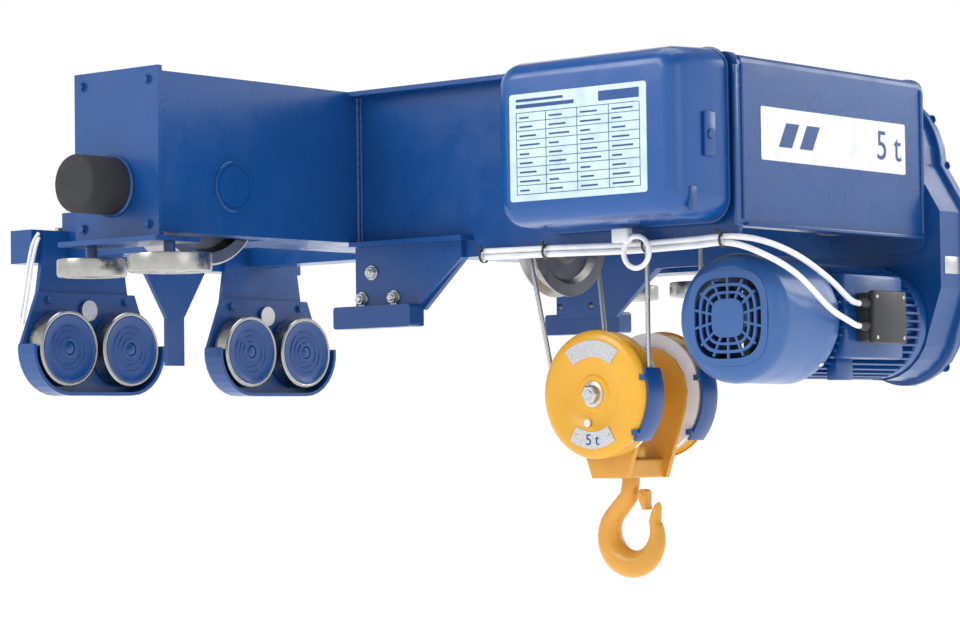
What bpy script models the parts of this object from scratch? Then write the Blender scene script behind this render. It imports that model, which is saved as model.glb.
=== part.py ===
"""Five tonne wire rope hoist on a trolley that hangs beside a box girder.

+X runs from the rail towards the hoist, Y is the direction of travel with the buffer
and control box end at -Y, and +Z is up. The origin is on the top of the rail, at its
middle and half way along the trolley. Lengths are in metres.
"""
import bpy
import bmesh
from math import acos, atan2, cos, hypot, pi, radians, sin
from mathutils import Matrix, Vector

# Trolley beam
BEAM_LENGTH = 1.830
BEAM_WIDTH = 0.234
BEAM_BOTTOM = 0.058
BEAM_TOP = 0.378
BEAM_WALL = 0.010
END_PLATE = 0.012
END_PLATE_LIP = 0.010
# Load wheels
WHEEL_RADIUS = 0.1575
WHEEL_WIDTH = 0.085
WHEEL_BASE = 1.430
AXLE_RADIUS = 0.025
# Buffers and guide rollers
BUFFER_RADIUS = 0.0585
BUFFER_LENGTH = 0.105
RAIL_HALF = 0.036
ROLLER_OUTER_RADIUS = 0.071
ROLLER_INNER_RADIUS = 0.084
ROLLER_WIDTH = 0.036
ROLLER_PIN = 0.012
ROLLER_BOTTOM = -0.022
ROLLER_SET_BACK = 0.030
# Cross beams that carry the hoist
FRAME_LENGTH = 0.666
CROSS_PLATE = 0.012
CROSS_BOTTOM = 0.052
CROSS_STEP_X = 0.350
CROSS_STEP_BOTTOM = 0.014
CROSS_END_X = 1.100
FLANGE_DEPTH = 0.040
FLANGE_THICK = 0.010
# Claws that stop the trolley lifting
CLAW_X = 0.107
CLAW_REACH = 0.032
CLAW_TOP = -0.078
CLAW_BOTTOM = -0.125
CLAW_FOOT_LENGTH = 0.215
CLAW_THICK = 0.012
CLAW_FOOT_DEPTH = 0.045
BOLT_RADIUS = 0.008
BOLT_HEAD = 0.0135
# Counter pressure bogies under the far flange
BOGIE_SPACING = 0.592
BOGIE_WHEEL_RADIUS = 0.0875
BOGIE_WHEEL_WIDTH = 0.045
BOGIE_WHEEL_GAP = 0.017
BOGIE_FACE_X = -0.740
BOGIE_Z = -0.140
BOGIE_PLATE = 0.010
GUARD_CLEARANCE = 0.013
GUARD_THICK = 0.008
PIVOT_Z = -0.050
PIVOT_RADIUS = 0.016
HANGER_TOP = 0.135
COUNTER_DEPTH = 0.070
# Rope drum and its housing
DRUM_X = 0.900
DRUM_Z = 0.205
DRUM_RADIUS = 0.135
DRUM_WALL = 0.010
ROPE_DIAMETER = 0.010
SHAFT_RADIUS = 0.030
HOUSING_WALL = 0.006
# Motor and gears
MOTOR_X = 0.985
MOTOR_Z = -0.130
MOTOR_RADIUS = 0.118
MOTOR_WALL = 0.012
COWL_RADIUS = 0.129
COWL_LENGTH = 0.200
COWL_WALL = 0.004
ROTOR_RADIUS = 0.080
ROTOR_SHAFT = 0.016
GEARBOX_DEPTH = 0.130
GEARBOX_WALL = 0.010
SLOW_MODULE = 0.007
SLOW_WHEEL_TEETH = 43
SLOW_PINION_TEETH = 12
FAST_MODULE = 0.006
FAST_WHEEL_TEETH = 41
FAST_PINION_TEETH = 12
# Sheaves, bottom block and hook
BLOCK_X = 0.640
BLOCK_Y = -0.087
BLOCK_Z = -0.273
SHEAVE_PITCH = 0.120
SHEAVE_SPACING = 0.184
SHEAVE_WIDTH = 0.036
RETURN_X = 0.465
RETURN_Z = 0.063
RETURN_PITCH = 0.1175
COVER_RADIUS = 0.132
HOOK_SHANK = 0.019
HOOK_BOWL = 0.0315
HOOK_DROP = 0.290
HOOK_THICK = 0.030
# Control box
BOX_LOW_X = 0.622
BOX_HIGH_X = 1.086
BOX_BOTTOM = 0.050
BOX_HEIGHT = 0.335
BOX_DEPTH = 0.150
BOX_BASE = 0.018
BOX_WALL = 0.004

CABLE_RADIUS = 0.0048
CABLE_INSET = 0.027
CABLE_RUN = 0.664
# Clearances
GAP = 0.0003
RUN = 0.0004
SIDE_PLAY = 0.002

HALF_BEAM = BEAM_WIDTH / 2
FRONT_Y = -FRAME_LENGTH / 2
REAR_Y = FRAME_LENGTH / 2
INNER_Y = REAR_Y - CROSS_PLATE
ROLL_Z = WHEEL_RADIUS
WHEEL_PITCH = 2 * BOGIE_WHEEL_RADIUS + BOGIE_WHEEL_GAP


def clear_scene():
    for item in list(bpy.data.objects):
        bpy.data.objects.remove(item, do_unlink=True)


def collection(name):
    group = bpy.data.collections.new(name)
    bpy.context.scene.collection.children.link(group)
    return group


def finish(name, colour, roughness, metallic):
    material = bpy.data.materials.new(name)
    material.use_nodes = True
    shader = material.node_tree.nodes["Principled BSDF"]
    shader.inputs["Base Color"].default_value = (*colour, 1)
    shader.inputs["Roughness"].default_value = roughness
    shader.inputs["Metallic"].default_value = metallic
    return material


clear_scene()
PARTS = collection("rope_hoist")
CUTTERS = collection("rope_hoist_cutters")
BLUE = finish("blue_paint", (0.012, 0.075, 0.33), 0.35, 0.0)
STEEL = finish("machined_steel", (0.55, 0.56, 0.57), 0.3, 1.0)
ZINC = finish("zinc_plate", (0.62, 0.63, 0.64), 0.3, 1.0)
RUBBER = finish("black_rubber", (0.02, 0.02, 0.02), 0.8, 0.0)
YELLOW = finish("orange_paint", (0.95, 0.36, 0.03), 0.4, 0.0)
BLACK = finish("black_plastic", (0.02, 0.02, 0.022), 0.45, 0.0)
WIRE = finish("wire_rope", (0.5, 0.5, 0.5), 0.4, 0.9)
WHITE = finish("white_sheath", (0.85, 0.86, 0.88), 0.45, 0.0)


def keep(item, material):
    """Give a finished piece its own slot and put it among the parts."""
    item.data.materials.clear()
    item.data.materials.append(material)
    for group in list(item.users_collection):
        group.objects.unlink(item)
    PARTS.objects.link(item)
    return item


def from_bmesh(name, shape):
    mesh = bpy.data.meshes.new(name)
    shape.to_mesh(mesh)
    shape.free()
    item = bpy.data.objects.new(name, mesh)
    CUTTERS.objects.link(item)
    return item


def block(name, low, high, bevel=0.0):
    """A box between two corners, with its edges rounded if a bevel is given."""
    shape = bmesh.new()
    low, high = Vector(low), Vector(high)
    bmesh.ops.create_cube(shape, size=1.0)
    bmesh.ops.scale(shape, vec=high - low, verts=shape.verts)
    item = from_bmesh(name, shape)
    item.location = (low + high) / 2
    if bevel:
        rounding = item.modifiers.new("rounded", "BEVEL")
        rounding.width = bevel
        rounding.segments = 2
    return item


AIM = {"X": Matrix.Rotation(pi / 2, 4, "Y"), "Y": Matrix.Rotation(-pi / 2, 4, "X"), "Z": Matrix()}


def rod(name, axis, centre, radius, length, sides=24):
    """A plain cylinder whose middle is at the centre given."""
    shape = bmesh.new()
    bmesh.ops.create_cone(shape, cap_ends=True, segments=sides, radius1=radius, radius2=radius, depth=length)
    item = from_bmesh(name, shape)
    item.matrix_world = Matrix.Translation(centre) @ AIM[axis]
    item.data.shade_smooth()
    return item


def turned(name, axis, centre, profile, closed=False, sides=24):
    """Spin a profile of (radius, distance along the axis) points about its axis."""
    ring = zip(profile, profile[1:] + profile[:1])
    if sum(a[0] * b[1] - b[0] * a[1] for a, b in ring) > 0:
        profile = profile[::-1]
    shape = bmesh.new()
    points = [shape.verts.new((radius, 0, along)) for radius, along in profile]
    for first, second in zip(points, points[1:]):
        shape.edges.new((first, second))
    if closed:
        shape.edges.new((points[-1], points[0]))
    item = from_bmesh(name, shape)
    item.matrix_world = Matrix.Translation(centre) @ AIM[axis]
    screw = item.modifiers.new("turned", "SCREW")
    screw.steps = sides
    screw.render_steps = sides
    screw.use_merge_vertices = True
    screw.merge_threshold = 0.0001
    return item


def plate(name, axis, outline, low, high):
    """A flat outline given in the two other axes, in X, Y, Z order, between two levels."""
    curve = bpy.data.curves.new(name, "CURVE")
    curve.dimensions = "2D"
    curve.fill_mode = "BOTH"
    curve.extrude = (high - low) / 2
    spline = curve.splines.new("POLY")
    spline.points.add(len(outline) - 1)
    for point, (across, up) in zip(spline.points, outline):
        point.co = (across, up, 0, 1)
    spline.use_cyclic_u = True
    turn = {"X": Matrix(((0, 0, 1), (1, 0, 0), (0, 1, 0))).to_4x4(),
            "Y": Matrix(((1, 0, 0), (0, 0, -1), (0, 1, 0))).to_4x4(), "Z": Matrix()}[axis]
    middle = Vector([(low + high) / 2 if axis == letter else 0 for letter in "XYZ"])
    return solid_curve(name, curve, Matrix.Translation(middle) @ turn)


def solid_curve(name, curve, place):
    """Make a curve a welded mesh, so that it can be cut or joined."""
    item = bpy.data.objects.new(name + "_curve", curve)
    CUTTERS.objects.link(item)
    item.matrix_world = place
    bpy.context.view_layer.update()
    graph = bpy.context.evaluated_depsgraph_get()
    mesh = bpy.data.meshes.new_from_object(item.evaluated_get(graph))
    shape = bmesh.new()
    shape.from_mesh(mesh)
    bmesh.ops.remove_doubles(shape, verts=shape.verts, dist=0.00001)
    bmesh.ops.recalc_face_normals(shape, faces=shape.faces)
    bpy.data.objects.remove(item, do_unlink=True)
    result = from_bmesh(name, shape)
    result.matrix_world = place
    return result


def tube(name, points, radius, widths=None, sides=2):
    """A round wire or bar through the points, with a width factor at each one."""
    curve = bpy.data.curves.new(name, "CURVE")
    curve.dimensions = "3D"
    curve.bevel_depth = radius
    curve.bevel_resolution = sides
    curve.use_fill_caps = True
    spline = curve.splines.new("POLY")
    spline.points.add(len(points) - 1)
    for index, point in enumerate(points):
        spline.points[index].co = (*point, 1)
        spline.points[index].radius = widths[index] if widths else 1.0
    return solid_curve(name, curve, Matrix())


def combine(item, other, operation):
    """Join or cut with another shape, which stays as a hidden wire frame."""
    other.name = item.name + "_" + operation.lower() + "_tool"
    other.hide_render = True
    other.display_type = "WIRE"
    step = item.modifiers.new(operation.lower(), "BOOLEAN")
    step.operation = operation
    step.solver = "EXACT"
    step.object = other
    return item


def join(item, *others):
    for other in others:
        combine(item, other, "UNION")
    return item


def cut(item, *others):
    for other in others:
        combine(item, other, "DIFFERENCE")
    return item


def arc(centre, radius, start, end, steps):
    """Points on an arc, from one angle to another in degrees."""
    angles = [radians(start + (end - start) * i / steps) for i in range(steps + 1)]
    return [(centre[0] + radius * cos(a), centre[1] + radius * sin(a)) for a in angles]


def rounded(low, high, radius, steps=3):
    """A rectangle with round corners, anticlockwise."""
    (x0, y0), (x1, y1) = low, high
    return (arc((x1 - radius, y0 + radius), radius, -90, 0, steps)
            + arc((x1 - radius, y1 - radius), radius, 0, 90, steps)
            + arc((x0 + radius, y1 - radius), radius, 90, 180, steps)
            + arc((x0 + radius, y0 + radius), radius, 180, 270, steps))


def make_beam():
    """The box beam that stands over the rail, slotted for its two wheels."""
    end = BEAM_LENGTH / 2
    beam = block("main_beam", (-HALF_BEAM, -end, BEAM_BOTTOM), (HALF_BEAM, end, BEAM_TOP))
    inside = block("inside", (-HALF_BEAM + BEAM_WALL, -end - 0.01, BEAM_BOTTOM + BEAM_WALL),
                   (HALF_BEAM - BEAM_WALL, end + 0.01, BEAM_TOP - BEAM_WALL))
    cut(beam, inside)
    slot_x = WHEEL_WIDTH / 2 + 0.012
    slot_y = WHEEL_RADIUS - 0.005
    for side in (-1, 1):
        y = side * WHEEL_BASE / 2
        cut(beam, block("slot", (-slot_x, y - slot_y, BEAM_BOTTOM - 0.01),
                        (slot_x, y + slot_y, BEAM_BOTTOM + BEAM_WALL + 0.01)),
            rod("axle_hole", "X", (0, y, ROLL_Z), AXLE_RADIUS + RUN, BEAM_WIDTH + 0.02))
    keep(beam, BLUE)
    for side, where in ((-1, "front"), (1, "rear")):
        near, far = sorted((side * (end + GAP), side * (end + END_PLATE)))
        lip = END_PLATE_LIP
        keep(block("end_plate_" + where, (-HALF_BEAM - lip / 2, near, BEAM_BOTTOM - lip),
                   (HALF_BEAM + lip / 2, far, BEAM_TOP + lip)), BLUE)
        base = side * (end + END_PLATE + GAP)
        length = side * BUFFER_LENGTH
        profile = [(0, 0), (BUFFER_RADIUS - 0.004, 0), (BUFFER_RADIUS, length * 0.1),
                   (BUFFER_RADIUS, length * 0.86), (BUFFER_RADIUS - 0.012, length), (0, length)]
        keep(turned("buffer_" + where, "Y", (-0.010, base, 0.155), profile), RUBBER)
        wheel = turned("load_wheel_" + where, "X", (0, side * WHEEL_BASE / 2, ROLL_Z), wheel_profile(),
                       sides=28)
        keep(wheel, STEEL)


def wheel_profile():
    """A load wheel in one piece with its axle."""
    half, stub = WHEEL_WIDTH / 2, HALF_BEAM - 0.002
    web, rim = 0.018, WHEEL_RADIUS - 0.028
    right = [(0, stub), (AXLE_RADIUS, stub), (AXLE_RADIUS, web), (rim, web), (rim, half),
             (WHEEL_RADIUS, half)]
    return right + [(radius, -along) for radius, along in reversed(right)]


def make_guide_rollers():
    """Brackets below the end plates, with a roller on each side of the rail."""
    end = BEAM_LENGTH / 2 + END_PLATE
    plate_low = BEAM_BOTTOM - END_PLATE_LIP - 0.010 - GAP
    for side, where in ((-1, "front"), (1, "rear")):
        y = side * (end - ROLLER_SET_BACK)
        x_outer = -(RAIL_HALF + ROLLER_OUTER_RADIUS)
        x_inner = RAIL_HALF + ROLLER_INNER_RADIUS
        near, far = sorted((side * (end - 0.088), side * (end + 0.035)))
        bracket = block("guide_bracket_" + where, (x_outer - 0.03, near, plate_low),
                        (x_inner + 0.03, far, plate_low + 0.010))
        for name, x, radius in (("outer", x_outer, ROLLER_OUTER_RADIUS),
                                ("inner", x_inner, ROLLER_INNER_RADIUS)):
            bottom = ROLLER_BOTTOM
            top = bottom + ROLLER_WIDTH
            pin_length = plate_low + 0.005 - bottom
            join(bracket, rod("pin", "Z", (x, y, plate_low + 0.005 - pin_length / 2), ROLLER_PIN,
                              pin_length, 16))
            profile = [(ROLLER_PIN + RUN, top), (radius, top), (radius, bottom + 0.003),
                       (radius - 0.003, bottom), (ROLLER_PIN + RUN, bottom)]
            keep(turned(f"guide_roller_{where}_{name}", "Z", (x, y, 0), profile, closed=True), STEEL)
        keep(bracket, BLUE)


def claw_bolts():
    left = CLAW_X
    return [(left + 0.051, -0.007), (left + 0.022, -0.062), (left + 0.113, -0.062)]


def cross_outline():
    """The plate that carries the drum, with a tab below for the claw."""
    right, top = CROSS_END_X, BEAM_TOP
    corner = 0.030
    tab = [(CLAW_X + CLAW_FOOT_LENGTH - 0.030, CLAW_TOP - 0.012), (CLAW_X + 0.318, CROSS_BOTTOM)]
    outline = [(HALF_BEAM + GAP, top), (HALF_BEAM + GAP, CROSS_BOTTOM),
               (HALF_BEAM + 0.004, CROSS_BOTTOM - 0.02),
               (HALF_BEAM + 0.004, CLAW_TOP - 0.012)] + tab[:1]
    outline += [(CLAW_X + 0.300, CROSS_STEP_BOTTOM)]
    outline += arc((right - corner, CROSS_STEP_BOTTOM + corner), corner, -90, 0, 4)
    return outline + arc((right - corner, top - corner), corner, 0, 90, 4)


def make_cross_beams():
    for side, where in ((-1, "front"), (1, "rear")):
        outer, inner = side * REAR_Y, side * INNER_Y
        low, high = sorted((outer, inner))
        beam = plate("cross_beam_" + where, "Y", cross_outline(), low, high)
        lip_low, lip_high = sorted((outer + side * FLANGE_DEPTH, outer - side * 0.002))
        top_flange = block("top_flange", (HALF_BEAM + GAP, lip_low, BEAM_TOP - FLANGE_THICK),
                           (BOX_LOW_X - 0.06, lip_high, BEAM_TOP - 0.0005))
        low_flange = block("low_flange", (HALF_BEAM + GAP, lip_low, CROSS_BOTTOM - 0.004),
                           (CROSS_STEP_X + 0.080, lip_high, CROSS_BOTTOM - 0.004 + FLANGE_THICK))
        join(beam, top_flange, low_flange)
        for x, z in claw_bolts():
            cut(beam, rod("bolt_hole", "Y", (x, outer, z), BOLT_RADIUS + RUN, 0.06, 16))
        cut(beam, rod("drum_hole", "Y", (DRUM_X, outer, DRUM_Z), SHAFT_RADIUS + RUN, 0.06, 32))
        if side > 0:
            cut(beam, rod("anchor_hole", "Y", (BLOCK_X + SHEAVE_PITCH, outer, 0.100), 0.012, 0.06, 16))
        keep(beam, BLUE)
        make_claw(side, where)


def make_claw(side, where):
    """A plate with a foot that reaches back under the edge of the rail flange."""
    face = side * (REAR_Y + GAP)
    back = side * (REAR_Y + CLAW_THICK)
    front = side * (REAR_Y + CLAW_FOOT_DEPTH)
    foot_end = CLAW_X + CLAW_FOOT_LENGTH - 0.030
    top = CROSS_BOTTOM - 0.004 - GAP
    outline = [(CLAW_X + 0.004, top), (CLAW_X + 0.004, CLAW_BOTTOM + 0.002), (foot_end, CLAW_BOTTOM + 0.002),
               (foot_end, CLAW_TOP), (CLAW_X + 0.300, 0.014), (CLAW_X + 0.300, top)]
    claw = plate("claw_" + where, "Y", outline, *sorted((face, back)))
    toe = rounded((CLAW_X - CLAW_REACH, CLAW_BOTTOM), (foot_end, CLAW_TOP), 0.006, 2)
    join(claw, plate("toe", "Y", toe, *sorted((face + side * 0.002, front))))
    for x, z in claw_bolts():
        cut(claw, rod("bolt_hole", "Y", (x, face, z), BOLT_RADIUS + RUN, 0.2, 16))
    keep(claw, BLUE)


def make_claw_bolts():
    """The three bolts of the front claw: each a hexagon head on its shank."""
    back = FRONT_Y - CLAW_THICK
    length = CLAW_THICK + CROSS_PLATE + 0.016
    for number, (x, z) in enumerate(claw_bolts(), 1):
        bolt = rod(f"claw_bolt_{number}", "Y", (x, back - GAP - 0.005, z), BOLT_HEAD, 0.010, 6)
        keep(join(bolt, rod("shank", "Y", (x, back - 0.004 + length / 2, z), BOLT_RADIUS, length, 16)), ZINC)


def bogie_centres():
    return (("front", -BOGIE_SPACING / 2), ("rear", BOGIE_SPACING / 2))


def make_counter_frame():
    """Arms over the girder, a beam beyond its edge and the hangers for the bogies."""
    wheel_back = BOGIE_FACE_X - BOGIE_WHEEL_WIDTH
    plate_back = wheel_back - SIDE_PLAY - BOGIE_PLATE
    hanger_face = plate_back - SIDE_PLAY
    hanger_back = hanger_face - 0.012
    reach = BOGIE_SPACING / 2 + 0.150
    frame = block("counter_frame", (hanger_back - COUNTER_DEPTH, -reach, BEAM_BOTTOM),
                  (hanger_back + 0.002, reach, HANGER_TOP))
    for where, y in bogie_centres():
        arm = block("arm", (hanger_back - 0.01, y - 0.045, BEAM_BOTTOM + 0.015),
                    (-HALF_BEAM - GAP, y + 0.045, BEAM_TOP - 0.200))
        hanger = plate("hanger", "X", [(y - 0.115, HANGER_TOP - 0.001), (y - 0.150, PIVOT_Z - 0.030),
                                       (y - 0.050, PIVOT_Z - 0.075), (y + 0.050, PIVOT_Z - 0.075),
                                       (y + 0.150, PIVOT_Z - 0.030), (y + 0.115, HANGER_TOP - 0.001)],
                       hanger_back, hanger_face)
        join(frame, arm, hanger)
        cut(frame, rod("pivot_hole", "X", (hanger_back, y, PIVOT_Z), PIVOT_RADIUS + RUN, 0.08))
        pin_ends = (hanger_back - 0.008, wheel_back + 0.004)
        pin = rod("bogie_pin_" + where, "X", (sum(pin_ends) / 2, y, PIVOT_Z), PIVOT_RADIUS,
                  pin_ends[1] - pin_ends[0])
        head = rod("head", "X", (wheel_back + 0.004, y, PIVOT_Z), PIVOT_RADIUS + 0.008, 0.007)
        keep(join(pin, head), STEEL)
        make_bogie(where, y, wheel_back, plate_back)
    post = plate("post", "X", [(-0.110, BEAM_BOTTOM + 0.01), (-0.028, -0.060), (-0.028, -0.175),
                               (0.028, -0.175), (0.028, -0.060), (0.110, BEAM_BOTTOM + 0.01)],
                 hanger_back, hanger_face)
    keep(join(frame, post), BLUE)


def make_bogie(where, y, wheel_back, plate_back):
    """A rocking plate with two wheels and a guard strip round their lower half."""
    inner = BOGIE_WHEEL_RADIUS + GUARD_CLEARANCE
    outer = inner + GUARD_THICK
    half = WHEEL_PITCH / 2
    left, right = (y - half, BOGIE_Z), (y + half, BOGIE_Z)
    strip = (arc(left, outer, 175, 270, 8) + arc(right, outer, 270, 365, 8)
             + arc(right, inner, 365, 270, 8) + arc(left, inner, 270, 175, 8))
    back = (arc(left, outer - 0.001, 180, 270, 8) + arc(right, outer - 0.001, 270, 360, 8)
            + [(y + 0.150, -0.010), (y - 0.150, -0.010)])
    rocker = plate("bogie_" + where, "X", back, plate_back, plate_back + BOGIE_PLATE)
    join(rocker, plate("guard", "X", strip, plate_back + 0.002, BOGIE_FACE_X))
    for number, (wheel_y, z) in enumerate((left, right), 1):
        stub = (plate_back + 0.002, BOGIE_FACE_X - 0.004)
        join(rocker, rod("stub", "X", (sum(stub) / 2, wheel_y, z), 0.014, stub[1] - stub[0], 16))
        low, high = wheel_back, BOGIE_FACE_X
        profile = [(0.014 + RUN, high), (BOGIE_WHEEL_RADIUS - 0.004, high), (BOGIE_WHEEL_RADIUS, high - 0.004),
                   (BOGIE_WHEEL_RADIUS, low), (0.014 + RUN, low)]
        keep(turned(f"bogie_wheel_{where}_{number}", "X", (0, wheel_y, z), profile, closed=True), BLUE)
    cut(rocker, rod("pivot_hole", "X", (plate_back, y, PIVOT_Z), PIVOT_RADIUS + RUN, 0.05))
    keep(rocker, BLUE)


def make_drum():
    """A hollow drum with stub shafts, in its folded sheet housing."""
    tip = REAR_Y + 0.010
    web = INNER_Y - 0.020
    thin = DRUM_RADIUS - DRUM_WALL
    bore = 0.012
    half = [(bore, tip), (SHAFT_RADIUS, tip), (SHAFT_RADIUS, web), (DRUM_RADIUS + 0.012, web),
            (DRUM_RADIUS + 0.012, web - 0.012), (DRUM_RADIUS, web - 0.012)]
    hollow = [(thin, web - 0.012), (bore, web - 0.012)]
    front_tip = REAR_Y - 0.002
    front = [(radius, -min(along, front_tip)) for radius, along in reversed(half)]
    profile = (half + front
               + [(radius, -along) for radius, along in reversed(hollow)] + hollow)
    keep(turned("drum", "Y", (DRUM_X, 0, DRUM_Z), profile, closed=True, sides=28), STEEL)
    top, right = BEAM_TOP - 0.006, CROSS_END_X
    left, bottom, wall = 0.690, CROSS_BOTTOM - 0.008, HOUSING_WALL
    outline = ([(left, top), (left, top - wall)] + arc((right - 0.016, top - 0.016), 0.016 - wall, 90, 0, 3)
               + [(right - wall, bottom + wall), (right - 0.060, bottom + wall), (right - 0.060, bottom),
                  (right, bottom)] + arc((right - 0.016, top - 0.016), 0.016, 0, 90, 3))
    side = INNER_Y - GAP
    keep(plate("drum_housing", "Y", outline, -side, side), BLUE)


def gear_outline(teeth, module, turn):
    """Straight sided teeth, thinned so that a pair runs with play; turn puts a tooth there."""
    pitch = teeth * module / 2
    root, tip = pitch - 1.2 * module, pitch + 0.8 * module
    wide, narrow = 0.36 * 2 * pi / teeth, 0.17 * 2 * pi / teeth
    points = []
    for index in range(teeth):
        middle = turn + 2 * pi * index / teeth
        for angle, radius in ((-wide, root), (-narrow, tip), (narrow, tip), (wide, root)):
            points.append((radius * cos(middle + angle / 1.25), radius * sin(middle + angle / 1.25)))
    return points


def gear(name, teeth, module, turn, centre, low, high):
    outline = [(centre[0] + x, centre[1] + z) for x, z in gear_outline(teeth, module, turn)]
    return plate(name, "Y", outline, low, high)


SLOW_REACH = (SLOW_WHEEL_TEETH + SLOW_PINION_TEETH) * SLOW_MODULE / 2
FAST_REACH = (FAST_WHEEL_TEETH + FAST_PINION_TEETH) * FAST_MODULE / 2


def counter_centre():
    """The countershaft, found from its distances to the drum and motor shafts."""
    across, down = MOTOR_X - DRUM_X, MOTOR_Z - DRUM_Z
    span = hypot(across, down)
    bend = acos((SLOW_REACH ** 2 + span ** 2 - FAST_REACH ** 2) / (2 * SLOW_REACH * span))
    angle = atan2(down, across) + bend
    return (DRUM_X + SLOW_REACH * cos(angle), DRUM_Z + SLOW_REACH * sin(angle))


def make_gears():
    """Two reductions behind the rear cross beam, in a split casing."""
    case_y = REAR_Y + GAP
    slow_low, slow_high = REAR_Y + 0.022, REAR_Y + 0.052
    fast_low, fast_high = REAR_Y + 0.062, REAR_Y + 0.082
    centre = counter_centre()
    motor, drum = (MOTOR_X, MOTOR_Z), (DRUM_X, DRUM_Z)
    to_counter = atan2(centre[1] - drum[1], centre[0] - drum[0])
    to_motor = atan2(motor[1] - centre[1], motor[0] - centre[0])
    wheel = gear("drum_gear", SLOW_WHEEL_TEETH, SLOW_MODULE, to_counter, drum, slow_low, slow_high)
    join(wheel, rod("hub", "Y", (drum[0], REAR_Y + 0.035, drum[1]), 0.035, 0.046))
    cut(wheel, rod("blind_hole", "Y", (drum[0], REAR_Y, drum[1]), SHAFT_RADIUS + RUN, 2 * (0.012 + 0.0004)))
    keep(wheel, STEEL)
    pinion_turn = to_counter + pi + pi / SLOW_PINION_TEETH
    shaft = gear("countershaft", SLOW_PINION_TEETH, SLOW_MODULE, pinion_turn, centre, slow_low, slow_high)
    join(shaft, rod("shaft", "Y", (centre[0], REAR_Y + 0.060, centre[1]), 0.020, 0.100),
         gear("fast_wheel", FAST_WHEEL_TEETH, FAST_MODULE, to_motor, centre, fast_low, fast_high))
    keep(shaft, STEEL)
    front, rear = motor_span()
    rotor = gear("motor_rotor", FAST_PINION_TEETH, FAST_MODULE, to_motor + pi + pi / FAST_PINION_TEETH, motor,
                 fast_low - 0.002, fast_high + 0.002)
    shaft_end = front + 0.060
    join(rotor, rod("rotor_shaft", "Y", (motor[0], (shaft_end + fast_high) / 2, motor[1]), ROTOR_SHAFT,
                    fast_high - shaft_end, 20),
         rod("rotor_core", "Y", (motor[0], (front + COWL_LENGTH + rear) / 2, motor[1]), ROTOR_RADIUS, 0.180, 32))
    keep(rotor, STEEL)
    make_gearbox(case_y, centre)


def gearbox_outline(margin):
    """The casing follows the drum gear above and narrows to the motor below."""
    top = arc((DRUM_X, DRUM_Z), 0.172 + margin, 0, 180, 14)
    low = arc((MOTOR_X, MOTOR_Z), 0.120 + margin, 200, 350, 10)
    return top + [(DRUM_X - 0.160 - margin, 0.100)] + low + [(MOTOR_X + 0.150 + margin, -0.060),
                                                            (MOTOR_X + 0.150 + margin, 0.100)]


def make_gearbox(case_y, centre):
    split = case_y + GEARBOX_DEPTH - 0.030
    back = case_y + GEARBOX_DEPTH
    casing = plate("gearbox_housing", "Y", gearbox_outline(0), case_y, split - GAP)
    cut(casing, plate("room", "Y", gearbox_outline(-GEARBOX_WALL), case_y + GEARBOX_WALL, split + 0.01))
    for x, z, radius in ((DRUM_X, DRUM_Z, 0.035), (MOTOR_X, MOTOR_Z, ROTOR_SHAFT)):
        cut(casing, rod("shaft_hole", "Y", (x, case_y, z), radius + 0.001, 0.05))
    cut(casing, rod("pocket", "Y", (centre[0], case_y + GEARBOX_WALL, centre[1]), 0.0205, 0.006))
    keep(casing, BLUE)
    cover = plate("gearbox_cover", "Y", gearbox_outline(0.004), split, back)
    cut(cover, plate("room", "Y", gearbox_outline(-GEARBOX_WALL), split - 0.01, back - GEARBOX_WALL))
    keep(cover, BLUE)


def motor_span():
    """The cowl's front face and the back face of the motor."""
    return FRONT_Y + 0.116, REAR_Y - GAP


def make_motor():
    front, rear = motor_span()
    joint = front + COWL_LENGTH
    middle = (MOTOR_X, 0, MOTOR_Z)
    inner = MOTOR_RADIUS - MOTOR_WALL
    profile = [(ROTOR_SHAFT + 0.001, joint), (MOTOR_RADIUS, joint), (MOTOR_RADIUS, rear),
               (ROTOR_SHAFT + 0.001, rear), (ROTOR_SHAFT + 0.001, rear - 0.012), (inner, rear - 0.012),
               (inner, joint + 0.012), (ROTOR_SHAFT + 0.001, joint + 0.012)]
    keep(turned("motor_housing", "Y", middle, profile, closed=True), BLUE)
    wall = COWL_WALL
    end = joint - GAP
    shell = [(0.012, front + wall), (COWL_RADIUS - 0.030, front + wall), (COWL_RADIUS - wall, front + 0.026),
             (COWL_RADIUS - wall, end), (COWL_RADIUS, end), (COWL_RADIUS, front + 0.024),
             (COWL_RADIUS - 0.011, front + 0.006), (COWL_RADIUS - 0.030, front), (0.012, front)]
    keep(turned("fan_cowl", "Y", middle, shell, closed=True), BLUE)
    blades = []
    for index in range(8):
        a = 2 * pi * index / 8
        for offset, radius in ((-0.24, 0.036), (-0.035, 0.105), (0.035, 0.105), (0.24, 0.036)):
            blades.append((MOTOR_X + radius * cos(a + offset), MOTOR_Z + radius * sin(a + offset)))
    fan = plate("fan", "Y", blades, front + 0.062, front + 0.100)
    cut(fan, rod("fan_bore", "Y", (MOTOR_X, front + 0.08, MOTOR_Z), ROTOR_SHAFT + GAP, 0.08, 20))
    keep(fan, BLACK)
    box_x = MOTOR_X + MOTOR_RADIUS + 0.004
    low, high = joint + 0.068, joint + 0.190
    terminal = block("terminal_box", (box_x, low, MOTOR_Z - 0.050), (box_x + 0.045, high, MOTOR_Z + 0.056), 0.006)
    keep(terminal, BLACK)


def sheave_profile(pitch, half_width, bottom_half, rim_half, bore):
    """A grooved rope sheave: the rope's centre runs at the pitch radius."""
    floor = pitch - ROPE_DIAMETER / 2 - 0.001
    rim = pitch + 0.009
    right = [(bore, half_width), (rim, half_width), (rim, rim_half), (floor, bottom_half)]
    return right + [(radius, -along) for radius, along in reversed(right)]


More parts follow.
